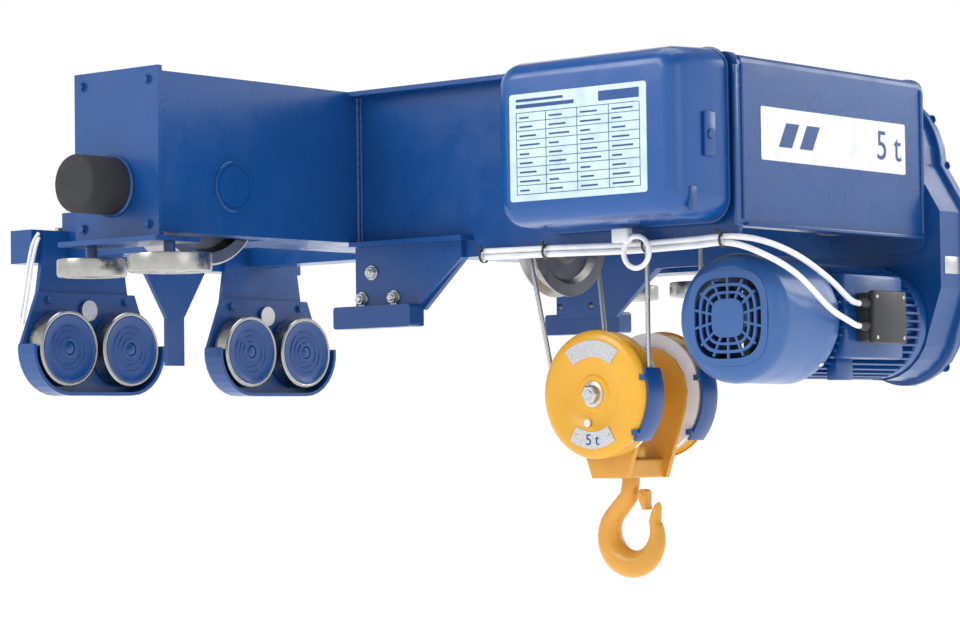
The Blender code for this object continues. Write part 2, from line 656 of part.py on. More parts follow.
def make_return_sheave():
    """The upper sheave turns about X between two cheeks on a cross member."""
    half = 0.022
    bore = 0.016
    profile = sheave_profile(RETURN_PITCH, half, 0.0075, 0.0185, bore + RUN)
    keep(turned("return_sheave", "X", (RETURN_X, BLOCK_Y, RETURN_Z), profile, closed=True), STEEL)
    low, high = RETURN_Z + RETURN_PITCH + 0.040, RETURN_Z + RETURN_PITCH + 0.100
    cheek = half + SIDE_PLAY
    carrier = block("sheave_carrier", (RETURN_X - cheek - 0.012, -INNER_Y + GAP, low),
                    (RETURN_X + cheek + 0.012, INNER_Y - GAP, high))
    for side in (-1, 1):
        a, b = sorted((side * cheek, side * (cheek + 0.012)))
        join(carrier, block("cheek", (RETURN_X + a, BLOCK_Y - 0.045, RETURN_Z - 0.040),
                            (RETURN_X + b, BLOCK_Y + 0.045, low + 0.01)))
    join(carrier, rod("axle", "X", (RETURN_X, BLOCK_Y, RETURN_Z), bore, 2 * (cheek + 0.010), 20))
    keep(carrier, BLUE)


def make_block():
    """Two sheaves on one axle, held by a yoke over the hook."""
    bore = 0.020
    reach = SHEAVE_SPACING / 2
    half = SHEAVE_WIDTH / 2
    for side, where in ((-1, "front"), (1, "rear")):
        y = BLOCK_Y + side * reach
        profile = sheave_profile(SHEAVE_PITCH, half, 0.0075, 0.0150, bore + RUN)
        keep(turned("block_sheave_" + where, "Y", (BLOCK_X, y, BLOCK_Z), profile, closed=True), YELLOW)
        near = side * (half + SIDE_PLAY)
        far = side * (half + SIDE_PLAY + 0.014)
        cover = [(bore + RUN, near), (COVER_RADIUS, near), (COVER_RADIUS, near * 0.6 + far * 0.4),
                 (COVER_RADIUS - 0.008, far), (bore + RUN, far)]
        keep(turned("block_cover_" + where, "Y", (BLOCK_X, y, BLOCK_Z), cover, closed=True), YELLOW)
    span = 2 * (reach + half + SIDE_PLAY + 0.016)
    yoke = rod("block_yoke", "Y", (BLOCK_X, BLOCK_Y, BLOCK_Z), bore, span)
    yoke_top = BLOCK_Z - SHEAVE_PITCH - 0.004
    inner = reach - half - SIDE_PLAY
    for side in (-1, 1):
        near, far = sorted((BLOCK_Y + side * inner, BLOCK_Y + side * (inner - 0.012)))
        cheek = arc((BLOCK_X, BLOCK_Z), 0.100, -20, 200, 10) + [(BLOCK_X - 0.045, yoke_top - 0.048),
                                                              (BLOCK_X + 0.045, yoke_top - 0.048)]
        join(yoke, plate("cheek", "Y", cheek, near, far))
    join(yoke, block("crosshead", (BLOCK_X - 0.040, BLOCK_Y - inner + 0.002, yoke_top - 0.048),
                     (BLOCK_X + 0.040, BLOCK_Y + inner - 0.002, yoke_top - 0.010), 0.004))
    cut(yoke, rod("shank_hole", "Z", (BLOCK_X, BLOCK_Y, yoke_top), HOOK_SHANK + RUN, 0.2))
    keep(yoke, YELLOW)
    make_hook(yoke_top)


def make_hook(yoke_top):
    """A forged single hook on a nut that rests in the crosshead, with a sprung latch."""
    bowl = (BLOCK_X + 0.005, BLOCK_Z - HOOK_DROP)
    radius = HOOK_BOWL + HOOK_THICK
    neck = [(BLOCK_X, yoke_top + 0.012), (BLOCK_X, yoke_top - 0.060), (BLOCK_X - 0.006, yoke_top - 0.090)]
    curve = arc(bowl, radius, 132, 385, 15)
    tip = [(bowl[0] + radius - 0.002, bowl[1] + 0.050), (bowl[0] + radius + 0.004, bowl[1] + 0.064)]
    outline = neck + curve + tip
    widths = [HOOK_SHANK, HOOK_SHANK, HOOK_SHANK]
    for index in range(len(curve)):
        share = index / (len(curve) - 1)
        widths.append(0.021 + 0.009 * sin(pi * min(1, share * 1.25)) if share < 0.8 else 0.021 - 0.03 * (share - 0.8))
    widths += [0.011, 0.006]
    points = [(x, BLOCK_Y, z) for x, z in outline]
    hook = tube("hook", points, 1.0, widths, 2)
    nut = rod("nut", "Z", (BLOCK_X, BLOCK_Y, yoke_top + 0.006), 0.032, 0.026)
    keep(join(hook, nut), YELLOW)
    pivot = (BLOCK_X + 0.034, yoke_top - 0.082)
    tip_x, tip_z = bowl[0] + radius - 0.020, bowl[1] + 0.050
    latch_outline = arc(pivot, 0.011, 20, 200, 6) + [(tip_x - 0.008, tip_z + 0.002), (tip_x + 0.001, tip_z)]
    latch = plate("latch", "Y", latch_outline, BLOCK_Y - 0.012, BLOCK_Y + 0.012)
    keep(latch, YELLOW)


def make_ropes():
    """The four falls: drum to rear sheave, over the return sheave, and to the anchor."""
    reach = SHEAVE_SPACING / 2
    left, right = BLOCK_X - SHEAVE_PITCH, BLOCK_X + SHEAVE_PITCH
    anchor_z = 0.022
    falls = (("anchor", (right, BLOCK_Y - reach, anchor_z), (right, BLOCK_Y - reach, BLOCK_Z)),
             ("front", (RETURN_X, BLOCK_Y - RETURN_PITCH, RETURN_Z), (left, BLOCK_Y - reach, BLOCK_Z)),
             ("rear", (RETURN_X, BLOCK_Y + RETURN_PITCH, RETURN_Z), (left, BLOCK_Y + reach, BLOCK_Z)),
             ("drum", (right - GAP, BLOCK_Y + reach, DRUM_Z), (right, BLOCK_Y + reach, BLOCK_Z)))
    for name, top, bottom in falls:
        keep(tube("rope_fall_" + name, [top, bottom], ROPE_DIAMETER / 2, sides=2), WIRE)
    low = anchor_z + GAP
    anchor = block("rope_anchor", (right - 0.020, -INNER_Y + GAP, low),
                   (right + 0.020, BLOCK_Y - reach + 0.025, low + 0.060))
    keep(anchor, BLUE)


def make_control_box():
    """A base on the front cross beam and a deep cover hinged at its left edge."""
    base_y = FRONT_Y - GAP - BOX_BASE
    low = (BOX_LOW_X, BOX_BOTTOM)
    high = (BOX_HIGH_X, BOX_BOTTOM + BOX_HEIGHT)
    inset = 0.010
    base = plate("control_box", "Y",
                 rounded((low[0] + inset, low[1] + inset), (high[0] - inset, high[1] - inset), 0.03),
                 base_y, FRONT_Y - GAP)
    unit = block("switchgear", (BOX_LOW_X + 0.060, base_y - 0.090, BOX_BOTTOM + 0.050),
                 (BOX_HIGH_X - 0.090, base_y + 0.002, high[1] - 0.060), 0.004)
    keep(join(base, unit), BLACK)
    back = base_y - GAP
    front = back - BOX_DEPTH
    outline = rounded(low, high, 0.045, 4)
    cover = plate("control_cover", "Y", outline, front, back)
    rim = cover.modifiers.new("round_edges", "BEVEL")
    rim.width = 0.018
    rim.segments = 3
    rim.limit_method = "ANGLE"
    rim.angle_limit = radians(60)
    trim = BOX_WALL + 0.012
    room = rounded((low[0] + trim, low[1] + trim), (high[0] - trim, high[1] - trim), 0.03)
    cut(cover, plate("room", "Y", room, front + 0.012, back + 0.01),
        block("square_back", (BOX_LOW_X - 0.01, back - 0.018, BOX_BOTTOM - 0.01),
              (BOX_HIGH_X + 0.01, back + 0.01, high[1] + 0.01)))
    rim_outline = rounded(low, high, 0.045, 4)
    skirt = plate("skirt", "Y", rim_outline, back - 0.020, back)
    cut(skirt, plate("skirt_room", "Y", room, back - 0.03, back + 0.01))
    keep(join(cover, skirt), BLUE)


def smooth_route(points, count):
    """A Catmull-Rom curve through the points, read evenly along each stretch."""
    route = []
    ends = [points[0]] + list(points) + [points[-1]]
    for a, b, c, d in zip(ends, ends[1:], ends[2:], ends[3:]):
        a, b, c, d = map(Vector, (a, b, c, d))
        for index in range(count):
            t = index / count
            route.append(0.5 * (2 * b + (c - a) * t + (2 * a - 5 * b + 4 * c - d) * t * t
                                + (3 * b - a - 3 * c + d) * t ** 3))
    return route + [Vector(points[-1])]


def make_cables():
    """Two leads along the bottom edge of the frame and down to the terminal box."""
    entry = MOTOR_X + MOTOR_RADIUS + 0.004 + CABLE_INSET
    low = motor_span()[0] + COWL_LENGTH + 0.068
    for name, drop, end_z in (("power_cable", 0.0, MOTOR_Z + 0.030), ("brake_cable", 0.012, MOTOR_Z - 0.015)):
        y = FRONT_Y - 0.020
        z = CROSS_STEP_BOTTOM + 0.004 - drop
        points = [(entry - CABLE_RUN, y, z + 0.004), (entry - 0.434, y, z + 0.001), (entry - 0.284, y, z - 0.002),
                  (entry - 0.134, y, z), (entry - 0.049, y + 0.004, z + 0.002),
                  (entry - 0.010, y + 0.060, z - 0.006 - drop), (entry, y + 0.160, z - 0.030 - 2 * drop),
                  (entry + 0.006, y + 0.260, end_z + 0.046 - drop), (entry + 0.004, low - 0.070, end_z + 0.008),
                  (entry, low - 0.034, end_z), (entry, low - 2 * GAP, end_z)]
        keep(tube(name, smooth_route(points, 3), CABLE_RADIUS, sides=1), WHITE)


make_beam()
make_guide_rollers()
make_cross_beams()
make_claw_bolts()
make_counter_frame()
make_drum()
make_gears()
make_motor()
make_return_sheave()
make_block()
make_ropes()
make_control_box()
make_cables()
bpy.context.view_layer.update()
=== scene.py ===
"""Finished surfaces and small pieces for a wire rope hoist on a side-hung trolley.

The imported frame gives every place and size; the operators below add the turned, pressed
and forged pieces around it, and a procedural finish for every surface.
"""
import bpy
import bmesh
from math import atan2, cos, pi, radians, sin
from mathutils import Matrix, Vector


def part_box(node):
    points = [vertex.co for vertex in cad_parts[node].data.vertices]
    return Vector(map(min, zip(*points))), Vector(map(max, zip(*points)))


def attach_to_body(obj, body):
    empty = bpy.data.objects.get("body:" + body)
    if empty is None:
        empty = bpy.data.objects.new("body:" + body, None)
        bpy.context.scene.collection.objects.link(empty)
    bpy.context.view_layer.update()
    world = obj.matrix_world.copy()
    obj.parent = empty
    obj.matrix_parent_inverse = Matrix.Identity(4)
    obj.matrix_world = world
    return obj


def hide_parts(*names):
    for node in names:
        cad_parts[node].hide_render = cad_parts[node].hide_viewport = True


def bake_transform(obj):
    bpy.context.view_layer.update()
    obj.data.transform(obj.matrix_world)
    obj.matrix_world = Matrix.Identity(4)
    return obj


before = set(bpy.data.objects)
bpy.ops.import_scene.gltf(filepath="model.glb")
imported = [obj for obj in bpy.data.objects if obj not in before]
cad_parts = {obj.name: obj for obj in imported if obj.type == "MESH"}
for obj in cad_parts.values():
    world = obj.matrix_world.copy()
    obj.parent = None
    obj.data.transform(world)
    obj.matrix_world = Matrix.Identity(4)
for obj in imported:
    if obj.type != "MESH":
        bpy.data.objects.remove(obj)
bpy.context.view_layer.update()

bl_info = {
    "name": "Wire Rope Hoist",
    "version": (1, 0, 0),
    "blender": (4, 5, 0),
    "location": "View3D > Sidebar > Hoist",
    "description": "Builds the finished pieces and materials of a wire rope hoist",
    "category": "Object",
}

AIM = {"X": Matrix.Rotation(pi / 2, 4, "Y"), "Y": Matrix.Rotation(-pi / 2, 4, "X"), "Z": Matrix()}
TURN = {"X": Matrix(((0, 0, 1), (1, 0, 0), (0, 1, 0))).to_4x4(),
        "Y": Matrix(((1, 0, 0), (0, 0, 1), (0, 1, 0))).to_4x4(),
        "Z": Matrix()}


# ---------------------------------------------------------------- settings

class HoistSizes(bpy.types.PropertyGroup):
    steps: bpy.props.IntProperty(name="Round steps", description="Segments in a full turn", default=96,
                                 min=24)
    edge: bpy.props.FloatProperty(name="Edge", description="Rounding of a sharp edge", default=0.0015,
                                  unit="LENGTH")
    bolt: bpy.props.FloatProperty(name="Bolt", description="Across corners of a small bolt head",
                                  default=0.020,
                                  unit="LENGTH")
    weld: bpy.props.FloatProperty(name="Weld", description="Radius of a weld bead", default=0.0035,
                                  unit="LENGTH")
    rope: bpy.props.FloatProperty(name="Rope", description="Rope diameter", default=0.010, unit="LENGTH")
    lay: bpy.props.FloatProperty(name="Rope lay", description="Length of one turn of a strand", default=0.062,
                                 unit="LENGTH")
    ribs: bpy.props.IntProperty(name="Motor ribs", description="Cooling ribs round the motor", default=44,
                                min=8)


def colour(label, value):
    return bpy.props.FloatVectorProperty(name=label, description=label, default=value, size=3, min=0, max=1,
                                         subtype="COLOR")


class HoistColours(bpy.types.PropertyGroup):
    paint: colour("Blue paint", (0.004, 0.060, 0.235))
    cowl: colour("Cowl paint", (0.030, 0.115, 0.340))
    block: colour("Block paint", (0.760, 0.390, 0.022))
    hook: colour("Hook paint", (0.720, 0.340, 0.034))
    steel: colour("Machined steel", (0.430, 0.425, 0.405))
    zinc: colour("Zinc plate", (0.640, 0.650, 0.660))
    rubber: colour("Rubber", (0.020, 0.021, 0.024))
    sheath: colour("White sheath", (0.800, 0.820, 0.850))
    label: colour("Label", (0.860, 0.870, 0.880))
    plate: colour("Name plate", (0.520, 0.660, 0.740))


def sizes():
    return bpy.context.scene.hoist_sizes


def colours():
    return bpy.context.scene.hoist_colours


# ---------------------------------------------------------------- shader maths

class Value:
    """One socket of a material, with plain arithmetic."""

    def __init__(self, finish, socket):
        self.finish = finish
        self.socket = socket

    def math(self, operation, first, second=0.0):
        return self.finish.node("ShaderNodeMath", {"operation": operation}, {0: first, 1: second})

    def __add__(self, other):
        return self.math("ADD", self, other)

    def __sub__(self, other):
        return self.math("SUBTRACT", self, other)

    def __rsub__(self, other):
        return self.math("SUBTRACT", other, self)

    def __mul__(self, other):
        return self.math("MULTIPLY", self, other)

    def __pow__(self, other):
        return self.math("POWER", self, other)

    __radd__ = __add__
    __rmul__ = __mul__


class Finish:
    """A material that is built one node at a time round a Principled shader."""

    def __init__(self, name, roughness=0.4, metallic=0.0, coat=0.0):
        self.material = bpy.data.materials.new(name)
        self.material.use_nodes = True
        self.tree = self.material.node_tree
        self.shader = self.tree.nodes["Principled BSDF"]
        self.set("Roughness", roughness)
        self.set("Metallic", metallic)
        self.set("Coat Weight", coat)
        self.place = self.node("ShaderNodeTexCoord", {}, {}, "Object")

    def node(self, kind, settings, inputs, output=0):
        node = self.tree.nodes.new(kind)
        for key, value in settings.items():
            setattr(node, key, value)
        for key, value in inputs.items():
            self.feed(node.inputs[key], value)
        return Value(self, node.outputs[output])

    def feed(self, socket, value):
        if isinstance(value, Value):
            self.tree.links.new(value.socket, socket)
        else:
            socket.default_value = value

    def set(self, name, value):
        self.feed(self.shader.inputs[name], value)

    def noise(self, scale, detail=4.0, roughness=0.55):
        return self.node("ShaderNodeTexNoise", {}, {"Vector": self.place, "Scale": scale, "Detail": detail,
                                                    "Roughness": roughness})

    def mask(self, value, low, high):
        return self.node("ShaderNodeMapRange", {}, {"Value": value, "From Min": low, "From Max": high})

    def mix(self, share, first, second):
        node = self.tree.nodes.new("ShaderNodeMix")
        node.data_type = "RGBA"
        self.feed(node.inputs[0], share)
        for socket, value in ((node.inputs[6], first), (node.inputs[7], second)):
            self.feed(socket, value if isinstance(value, Value) else (*value, 1))
        return Value(self, node.outputs[2])

    def bump(self, height, distance, strength=1.0):
        self.set("Normal", self.node("ShaderNodeBump", {}, {"Height": height, "Distance": distance,
                                                           "Strength": strength}))

    def radius(self, axis, centre):
        """Distance from an axis, for turned marks."""
        moved = self.node("ShaderNodeVectorMath", {"operation": "SUBTRACT"}, {0: self.place, 1: centre})
        flat = tuple(0.0 if letter == axis else 1.0 for letter in "XYZ")
        squashed = self.node("ShaderNodeVectorMath", {"operation": "MULTIPLY"}, {0: moved, 1: flat})
        return self.node("ShaderNodeVectorMath", {"operation": "LENGTH"}, {0: squashed}, "Value")


def shade(value, factor):
    return tuple(min(1.0, channel * factor) for channel in value)


def paint(name, base, roughness=0.30, peel=0.00012):
    """Sprayed enamel: orange peel, faint clouds, a few dull patches and dust specks."""
    finish = Finish(name, roughness, coat=0.12)
    cloud = finish.noise(3.2, 5.0)
    spot = finish.mask(finish.noise(190.0, 2.0), 0.70, 0.76)
    tone = finish.mix(cloud, shade(base, 0.80), shade(base, 1.24))
    finish.set("Base Color", finish.mix(spot * 0.35, tone, shade(base, 2.2)))
    rub = finish.mask(finish.noise(14.0, 6.0), 0.42, 0.72)
    finish.set("Roughness", rub * 0.16 + (roughness - 0.04))
    finish.bump(finish.noise(420.0, 2.0) + finish.noise(60.0, 2.0) * 0.6, peel)
    return finish.material


def machined(name, axis, centre, base, pitch=900.0, roughness=0.24):
    """Turned steel: fine concentric tool marks with a little tarnish."""
    finish = Finish(name, roughness, 1.0)
    reach = finish.radius(axis, centre)
    marks = finish.node("ShaderNodeMath", {"operation": "SINE"}, {0: reach * pitch * 2.0})
    wander = finish.noise(38.0, 5.0)
    finish.set("Base Color", finish.mix(wander, shade(base, 0.72), shade(base, 1.18)))
    finish.set("Roughness", finish.mask(finish.noise(90.0), 0.3, 0.75) * 0.18 + roughness)
    finish.bump(marks + finish.noise(300.0) * 0.8, 0.00006, 0.8)
    return finish.material


def zinc_plate(name, base):
    finish = Finish(name, 0.28, 1.0)
    flake = finish.node("ShaderNodeTexVoronoi", {}, {"Vector": finish.place, "Scale": 260.0}, "Distance")
    finish.set("Base Color", finish.mix(flake, shade(base, 1.1), shade(base, 0.75)))
    finish.set("Roughness", finish.noise(120.0) * 0.25 + 0.18)
    finish.bump(finish.noise(500.0), 0.00005)
    return finish.material


def moulded(name, base, roughness, grain, depth):
    """Moulded plastic or rubber with an even grain."""
    finish = Finish(name, roughness)
    cells = finish.node("ShaderNodeTexVoronoi", {}, {"Vector": finish.place, "Scale": grain}, "Distance")
    finish.set("Base Color", finish.mix(finish.noise(22.0, 5.0), shade(base, 0.75), shade(base, 1.5)))
    finish.set("Roughness", finish.noise(60.0) * 0.2 + (roughness - 0.08))
    finish.bump(cells, depth)
    return finish.material


def cast_paint(name, base):
    """Paint over a forged or cast skin, worn to bare metal where it is rubbed."""
    finish = Finish(name, 0.36, coat=0.2)
    tone = finish.mix(finish.noise(9.0, 6.0), shade(base, 0.70), shade(base, 1.20))
    worn = finish.mask(finish.noise(26.0, 8.0, 0.7), 0.66, 0.70)
    finish.set("Base Color", finish.mix(worn * 0.55, tone, shade(base, 0.35)))
    finish.set("Roughness", finish.noise(44.0) * 0.24 + 0.24)
    finish.bump(finish.noise(85.0, 5.0) + finish.noise(320.0) * 0.4, 0.0005, 0.7)
    return finish.material


def wire(name, base):
    finish = Finish(name, 0.32, 0.95)
    finish.set("Base Color", finish.mix(finish.noise(240.0), shade(base, 0.5), shade(base, 1.1)))
    finish.set("Roughness", finish.noise(180.0) * 0.3 + 0.2)
    finish.bump(finish.noise(900.0), 0.0001)
    return finish.material


FINISHES = {}


def make_finishes():
    tone = colours()
    FINISHES.update({
        "blue": paint("blue_enamel", tone.paint),
        "cowl": paint("cowl_enamel", tone.cowl, 0.34),
        # The control cover's finish is the blue paint made 1.25 times lighter: a painted highlight for the
        # light on its face.
        "cover": paint("cover_enamel_painted_highlight", shade(tone.paint, 1.25), 0.24, 0.00008),
        "block": paint("block_enamel", tone.block, 0.30),
        "hook": cast_paint("hook_enamel", tone.hook),
        "zinc": zinc_plate("zinc_plate", tone.zinc),
        "rubber": moulded("buffer_rubber", tone.rubber, 0.72, 330.0, 0.0009),
        "black": moulded("black_moulding", shade(tone.rubber, 1.2), 0.42, 900.0, 0.00008),
        "sheath": moulded("cable_sheath", tone.sheath, 0.40, 700.0, 0.00003),
        "label": moulded("label_film", tone.label, 0.32, 500.0, 0.00002),
        "plate": moulded("name_plate", tone.plate, 0.30, 500.0, 0.00002),
        "wire": wire("rope_wire", tone.zinc),
        "steel": machined("plain_steel", "Y", (0, 0, 0), tone.steel, 300.0, 0.34),
    })


# ---------------------------------------------------------------- modelling

def settle(name, shape, body, finish, replaces=(), angle=32.0, recalculate=True):
    """Turn a finished bmesh into a piece that rides on a body."""
    bmesh.ops.remove_doubles(shape, verts=shape.verts, dist=0.00002)
    if recalculate:
        bmesh.ops.recalc_face_normals(shape, faces=shape.faces)
    mesh = bpy.data.meshes.new(name)
    shape.to_mesh(mesh)
    shape.free()
    piece = bpy.data.objects.new(name, mesh)
    bpy.context.scene.collection.objects.link(piece)
    mesh.shade_smooth()
    mesh.set_sharp_from_angle(angle=radians(angle))
    return attach(piece, body, finish, replaces)


def attach(piece, body, finish, replaces=()):
    material = FINISHES[finish] if isinstance(finish, str) else finish
    piece.data.materials.clear()
    piece.data.materials.append(material)
    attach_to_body(piece, body)
    if replaces:
        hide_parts(*replaces)
    return piece


def middle(node):
    low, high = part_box(node)
    return (Vector(low) + Vector(high)) / 2


def lathe(shape, profile, axis, centre, steps=None, closed=False):
    """Spin (radius, along) points about an axis through the centre."""
    steps = steps or sizes().steps
    verts = [shape.verts.new((radius, 0, along)) for radius, along in profile]
    edges = [shape.edges.new(pair) for pair in zip(verts, verts[1:])]
    if closed:
        edges.append(shape.edges.new((verts[-1], verts[0])))
    made = bmesh.ops.spin(shape, geom=verts + edges, cent=(0, 0, 0), axis=(0, 0, 1), angle=2 * pi,
                          steps=steps,
                          use_merge=True)
    every = set(verts)
    for face in shape.faces:
        if not face.tag:
            every.update(face.verts)
            face.tag = True
    bmesh.ops.transform(shape, matrix=Matrix.Translation(centre) @ AIM[axis], verts=list(every))
    return made


def prism(shape, outline, axis, low, high, bevel=0.0, segments=2):
    """Extrude a flat outline, given in the two other axes, from one level to another."""
    face = shape.faces.new([shape.verts.new((across, up, 0)) for across, up in outline])
    raised = bmesh.ops.extrude_face_region(shape, geom=[face])["geom"]
    top = [item for item in raised if isinstance(item, bmesh.types.BMVert)]
    bmesh.ops.translate(shape, vec=(0, 0, high - low), verts=top)
    verts = set(face.verts) | set(top)
    shift = Vector([low if letter == axis else 0 for letter in "XYZ"])
    bmesh.ops.transform(shape, matrix=Matrix.Translation(shift) @ TURN[axis], verts=list(verts))
    if bevel:
        edges = {edge for vert in verts for edge in vert.link_edges}
        rims = [edge for edge in edges if edge.calc_face_angle(0) > radians(50)]
        bmesh.ops.bevel(shape, geom=rims, offset=bevel, segments=segments, affect="EDGES", profile=0.5,
                        material=-1)
    for face in shape.faces:
        face.tag = True


def slab(shape, low, high, bevel=0.0):
    (x0, y0, z0), (x1, y1, z1) = low, high
    prism(shape, [(x0, y0), (x1, y0), (x1, y1), (x0, y1)], "Z", z0, z1, bevel)


def arc(centre, radius, start, end, steps):
    angles = [radians(start + (end - start) * i / steps) for i in range(steps + 1)]
    return [(centre[0] + radius * cos(a), centre[1] + radius * sin(a)) for a in angles]


def rounded(low, high, radius, steps=6):
    (x0, y0), (x1, y1) = low, high
    return (arc((x1 - radius, y0 + radius), radius, -90, 0, steps)
            + arc((x1 - radius, y1 - radius), radius, 0, 90, steps)
            + arc((x0 + radius, y1 - radius), radius, 90, 180, steps)
            + arc((x0 + radius, y0 + radius), radius, 180, 270, steps))


def hexagon_bolt(shape, place, axis, sign, across, washer=True):
    """A hexagon head on its washer, standing out along the axis."""
    x = across / 2
    base = sign * (0.0022 if washer else 0.0)
    height = sign * across * 0.36
    if washer:
        lathe(shape, [(0, 0.0), (x * 1.32, 0.0), (x * 1.32, base * 0.8), (x * 1.26, base), (0, base)], axis,
              place, 28)
    lathe(shape, [(0, base), (x * 0.97, base), (x, base + height * 0.1), (x, base + height * 0.86),
                  (x * 0.84, base + height), (0, base + height)], axis, place, 6)


def bead(name, points, body, radius=None, finish="blue"):
    """A weld or seam: a thin bar whose width ripples along its length."""
    curve = bpy.data.curves.new(name, "CURVE")
    curve.dimensions = "3D"
    curve.bevel_depth = radius or sizes().weld
    curve.bevel_resolution = 2
    curve.use_fill_caps = True
    spline = curve.splines.new("POLY")
    route = []
    for first, second in zip(points, points[1:]):
        first, second = Vector(first), Vector(second)
        count = max(2, int((second - first).length / 0.006))
        route += [first.lerp(second, i / count) for i in range(count)]
    route.append(Vector(points[-1]))
    spline.points.add(len(route) - 1)
    for index, place in enumerate(route):
        spline.points[index].co = (*place, 1)
        spline.points[index].radius = 1.0 + 0.16 * sin(index * 1.9) + 0.08 * sin(index * 4.3)
    piece = bpy.data.objects.new(name, curve)
    bpy.context.scene.collection.objects.link(piece)
    return attach(piece, body, finish)


def cable(name, points, radius, body, finish, replaces=()):
    """A smooth round lead through its route's points."""
    curve = bpy.data.curves.new(name, "CURVE")
    curve.dimensions = "3D"
    curve.bevel_depth = radius
    curve.bevel_resolution = 5
    curve.use_fill_caps = True
    spline = curve.splines.new("NURBS")
    spline.points.add(len(points) - 1)
    for place, point in zip(points, spline.points):
        point.co = (*place, 1)
    spline.order_u = 3
    spline.use_endpoint_u = True
    spline.resolution_u = 8
    piece = bpy.data.objects.new(name, curve)
    bpy.context.scene.collection.objects.link(piece)
    return attach(piece, body, finish, replaces)


def lettering(name, words, height, place, facing, body, finish="blue"):
    """Plain figures, made a mesh, on a face that looks along -Y or +X."""
    curve = bpy.data.curves.new(name, "FONT")
    curve.body = words
    curve.size = height
    curve.align_x = "CENTER"
    curve.align_y = "CENTER"
    curve.extrude = 0.0004
    source = bpy.data.objects.new(name + "_text", curve)
    bpy.context.scene.collection.objects.link(source)
    bpy.context.view_layer.update()
    mesh = bpy.data.meshes.new_from_object(source.evaluated_get(bpy.context.evaluated_depsgraph_get()))
    bpy.data.objects.remove(source, do_unlink=True)
    upright = Matrix.Rotation(pi / 2, 4, "X")
    turn = upright if facing == "-Y" else Matrix.Rotation(pi / 2, 4, "Z") @ upright
    mesh.transform(Matrix.Translation(place) @ turn)
    piece = bpy.data.objects.new(name, mesh)
    bpy.context.scene.collection.objects.link(piece)
    return attach(piece, body, finish)


# ---------------------------------------------------------------- trolley

def make_beam_details():
    """Axle covers, end plate bolts and weld beads of the box beam and its cross beams."""
    low, high = map(Vector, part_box("main_beam"))
    for side, where in ((-1, "front"), (1, "rear")):
        wheel = middle("load_wheel_" + where)
        shape = bmesh.new()
        for face, sign in ((high.x, 1), (low.x, -1)):
            lathe(shape, [(0, sign * 0.0050), (0.0085, sign * 0.0050), (0.0090, sign * 0.0036),
                          (0.0420, sign * 0.0036),
                          (0.0428, sign * 0.0020), (0.0445, sign * 0.0020), (0.0453, sign * 0.0042),
                          (0.0505, sign * 0.0042), (0.0520, sign * 0.0026), (0.0520, sign * 0.0001),
                          (0, sign * 0.0001)],
                  "X", (face, wheel.y, wheel.z))
        settle("axle_covers_" + where, shape, "trolley", "blue")
        plate_low, plate_high = map(Vector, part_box("end_plate_" + where))
        face = plate_low.y if side < 0 else plate_high.y
        bolts = bmesh.new()
        for x in (plate_low.x + 0.024, plate_high.x - 0.030):
            for z in (plate_low.z + 0.026, plate_high.z - 0.026):
                hexagon_bolt(bolts, (x, face, z), "Y", side, 0.017)
        settle("end_plate_bolts_" + where, bolts, "trolley", "blue")
        joint = face - side * 0.012
        bead("end_weld_right_" + where, [(high.x + 0.001, joint, low.z), (high.x + 0.001, joint, high.z)],
             "trolley")
        bead("end_weld_left_" + where, [(low.x - 0.001, joint, low.z), (low.x - 0.001, joint, high.z)],
             "trolley")
        bead("end_weld_top_" + where, [(low.x, joint, high.z + 0.001), (high.x, joint, high.z + 0.001)],
             "trolley")
        cross_low, cross_high = map(Vector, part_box("cross_beam_" + where))
        outer = cross_low.y if side < 0 else cross_high.y
        plate_face = outer + (0.040 if side < 0 else -0.040)
        for offset in (0.0, 0.010):
            y = plate_face + side * offset
            bead(f"corner_weld_{where}_{int(offset * 1000)}", [(high.x + 0.002, y, low.z + 0.002),
                                                              (high.x + 0.002, y, high.z - 0.012)], "trolley",
                 sizes().weld * 1.3)
        bead("flange_weld_" + where, [(high.x, plate_face + side * 0.001, low.z),
                                      (high.x + 0.31, plate_face + side * 0.001, low.z)], "trolley")
        bead("foot_weld_" + where, [(low.x, joint, low.z - 0.001), (high.x, joint, low.z - 0.001)], "trolley")


def make_buffers():
    """Soft rubber buffers with a pressed cup behind."""
    for side, where in ((-1, "front"), (1, "rear")):
        low, high = map(Vector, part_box("buffer_" + where))
        centre, radius, length = middle("buffer_" + where), (high.x - low.x) / 2, high.y - low.y
        base = (centre.x, high.y if side < 0 else low.y, centre.z)
        s = side * length
        profile = [(0, 0.0), (radius * 0.975, 0.0), (radius * 0.99, s * 0.03), (radius, s * 0.06),
                   (radius, s * 0.92), (radius * 0.99, s * 0.955), (radius * 0.965, s * 0.98),
                   (radius * 0.93, s * 0.995), (radius * 0.90, s), (radius * 0.30, s * 0.997), (0, s * 0.996)]
        shape = bmesh.new()
        lathe(shape, profile, "Y", base)
        settle("rubber_buffer_" + where, shape, "trolley", "rubber", ["buffer_" + where])
        cup = bmesh.new()
        lathe(cup, [(0, side * 0.0004), (radius * 1.06, side * 0.0004), (radius * 1.08, side * 0.004),
                    (radius * 1.02, side * 0.007), (0, side * 0.007)], "Y", base)
        settle("buffer_cup_" + where, cup, "trolley", "blue")


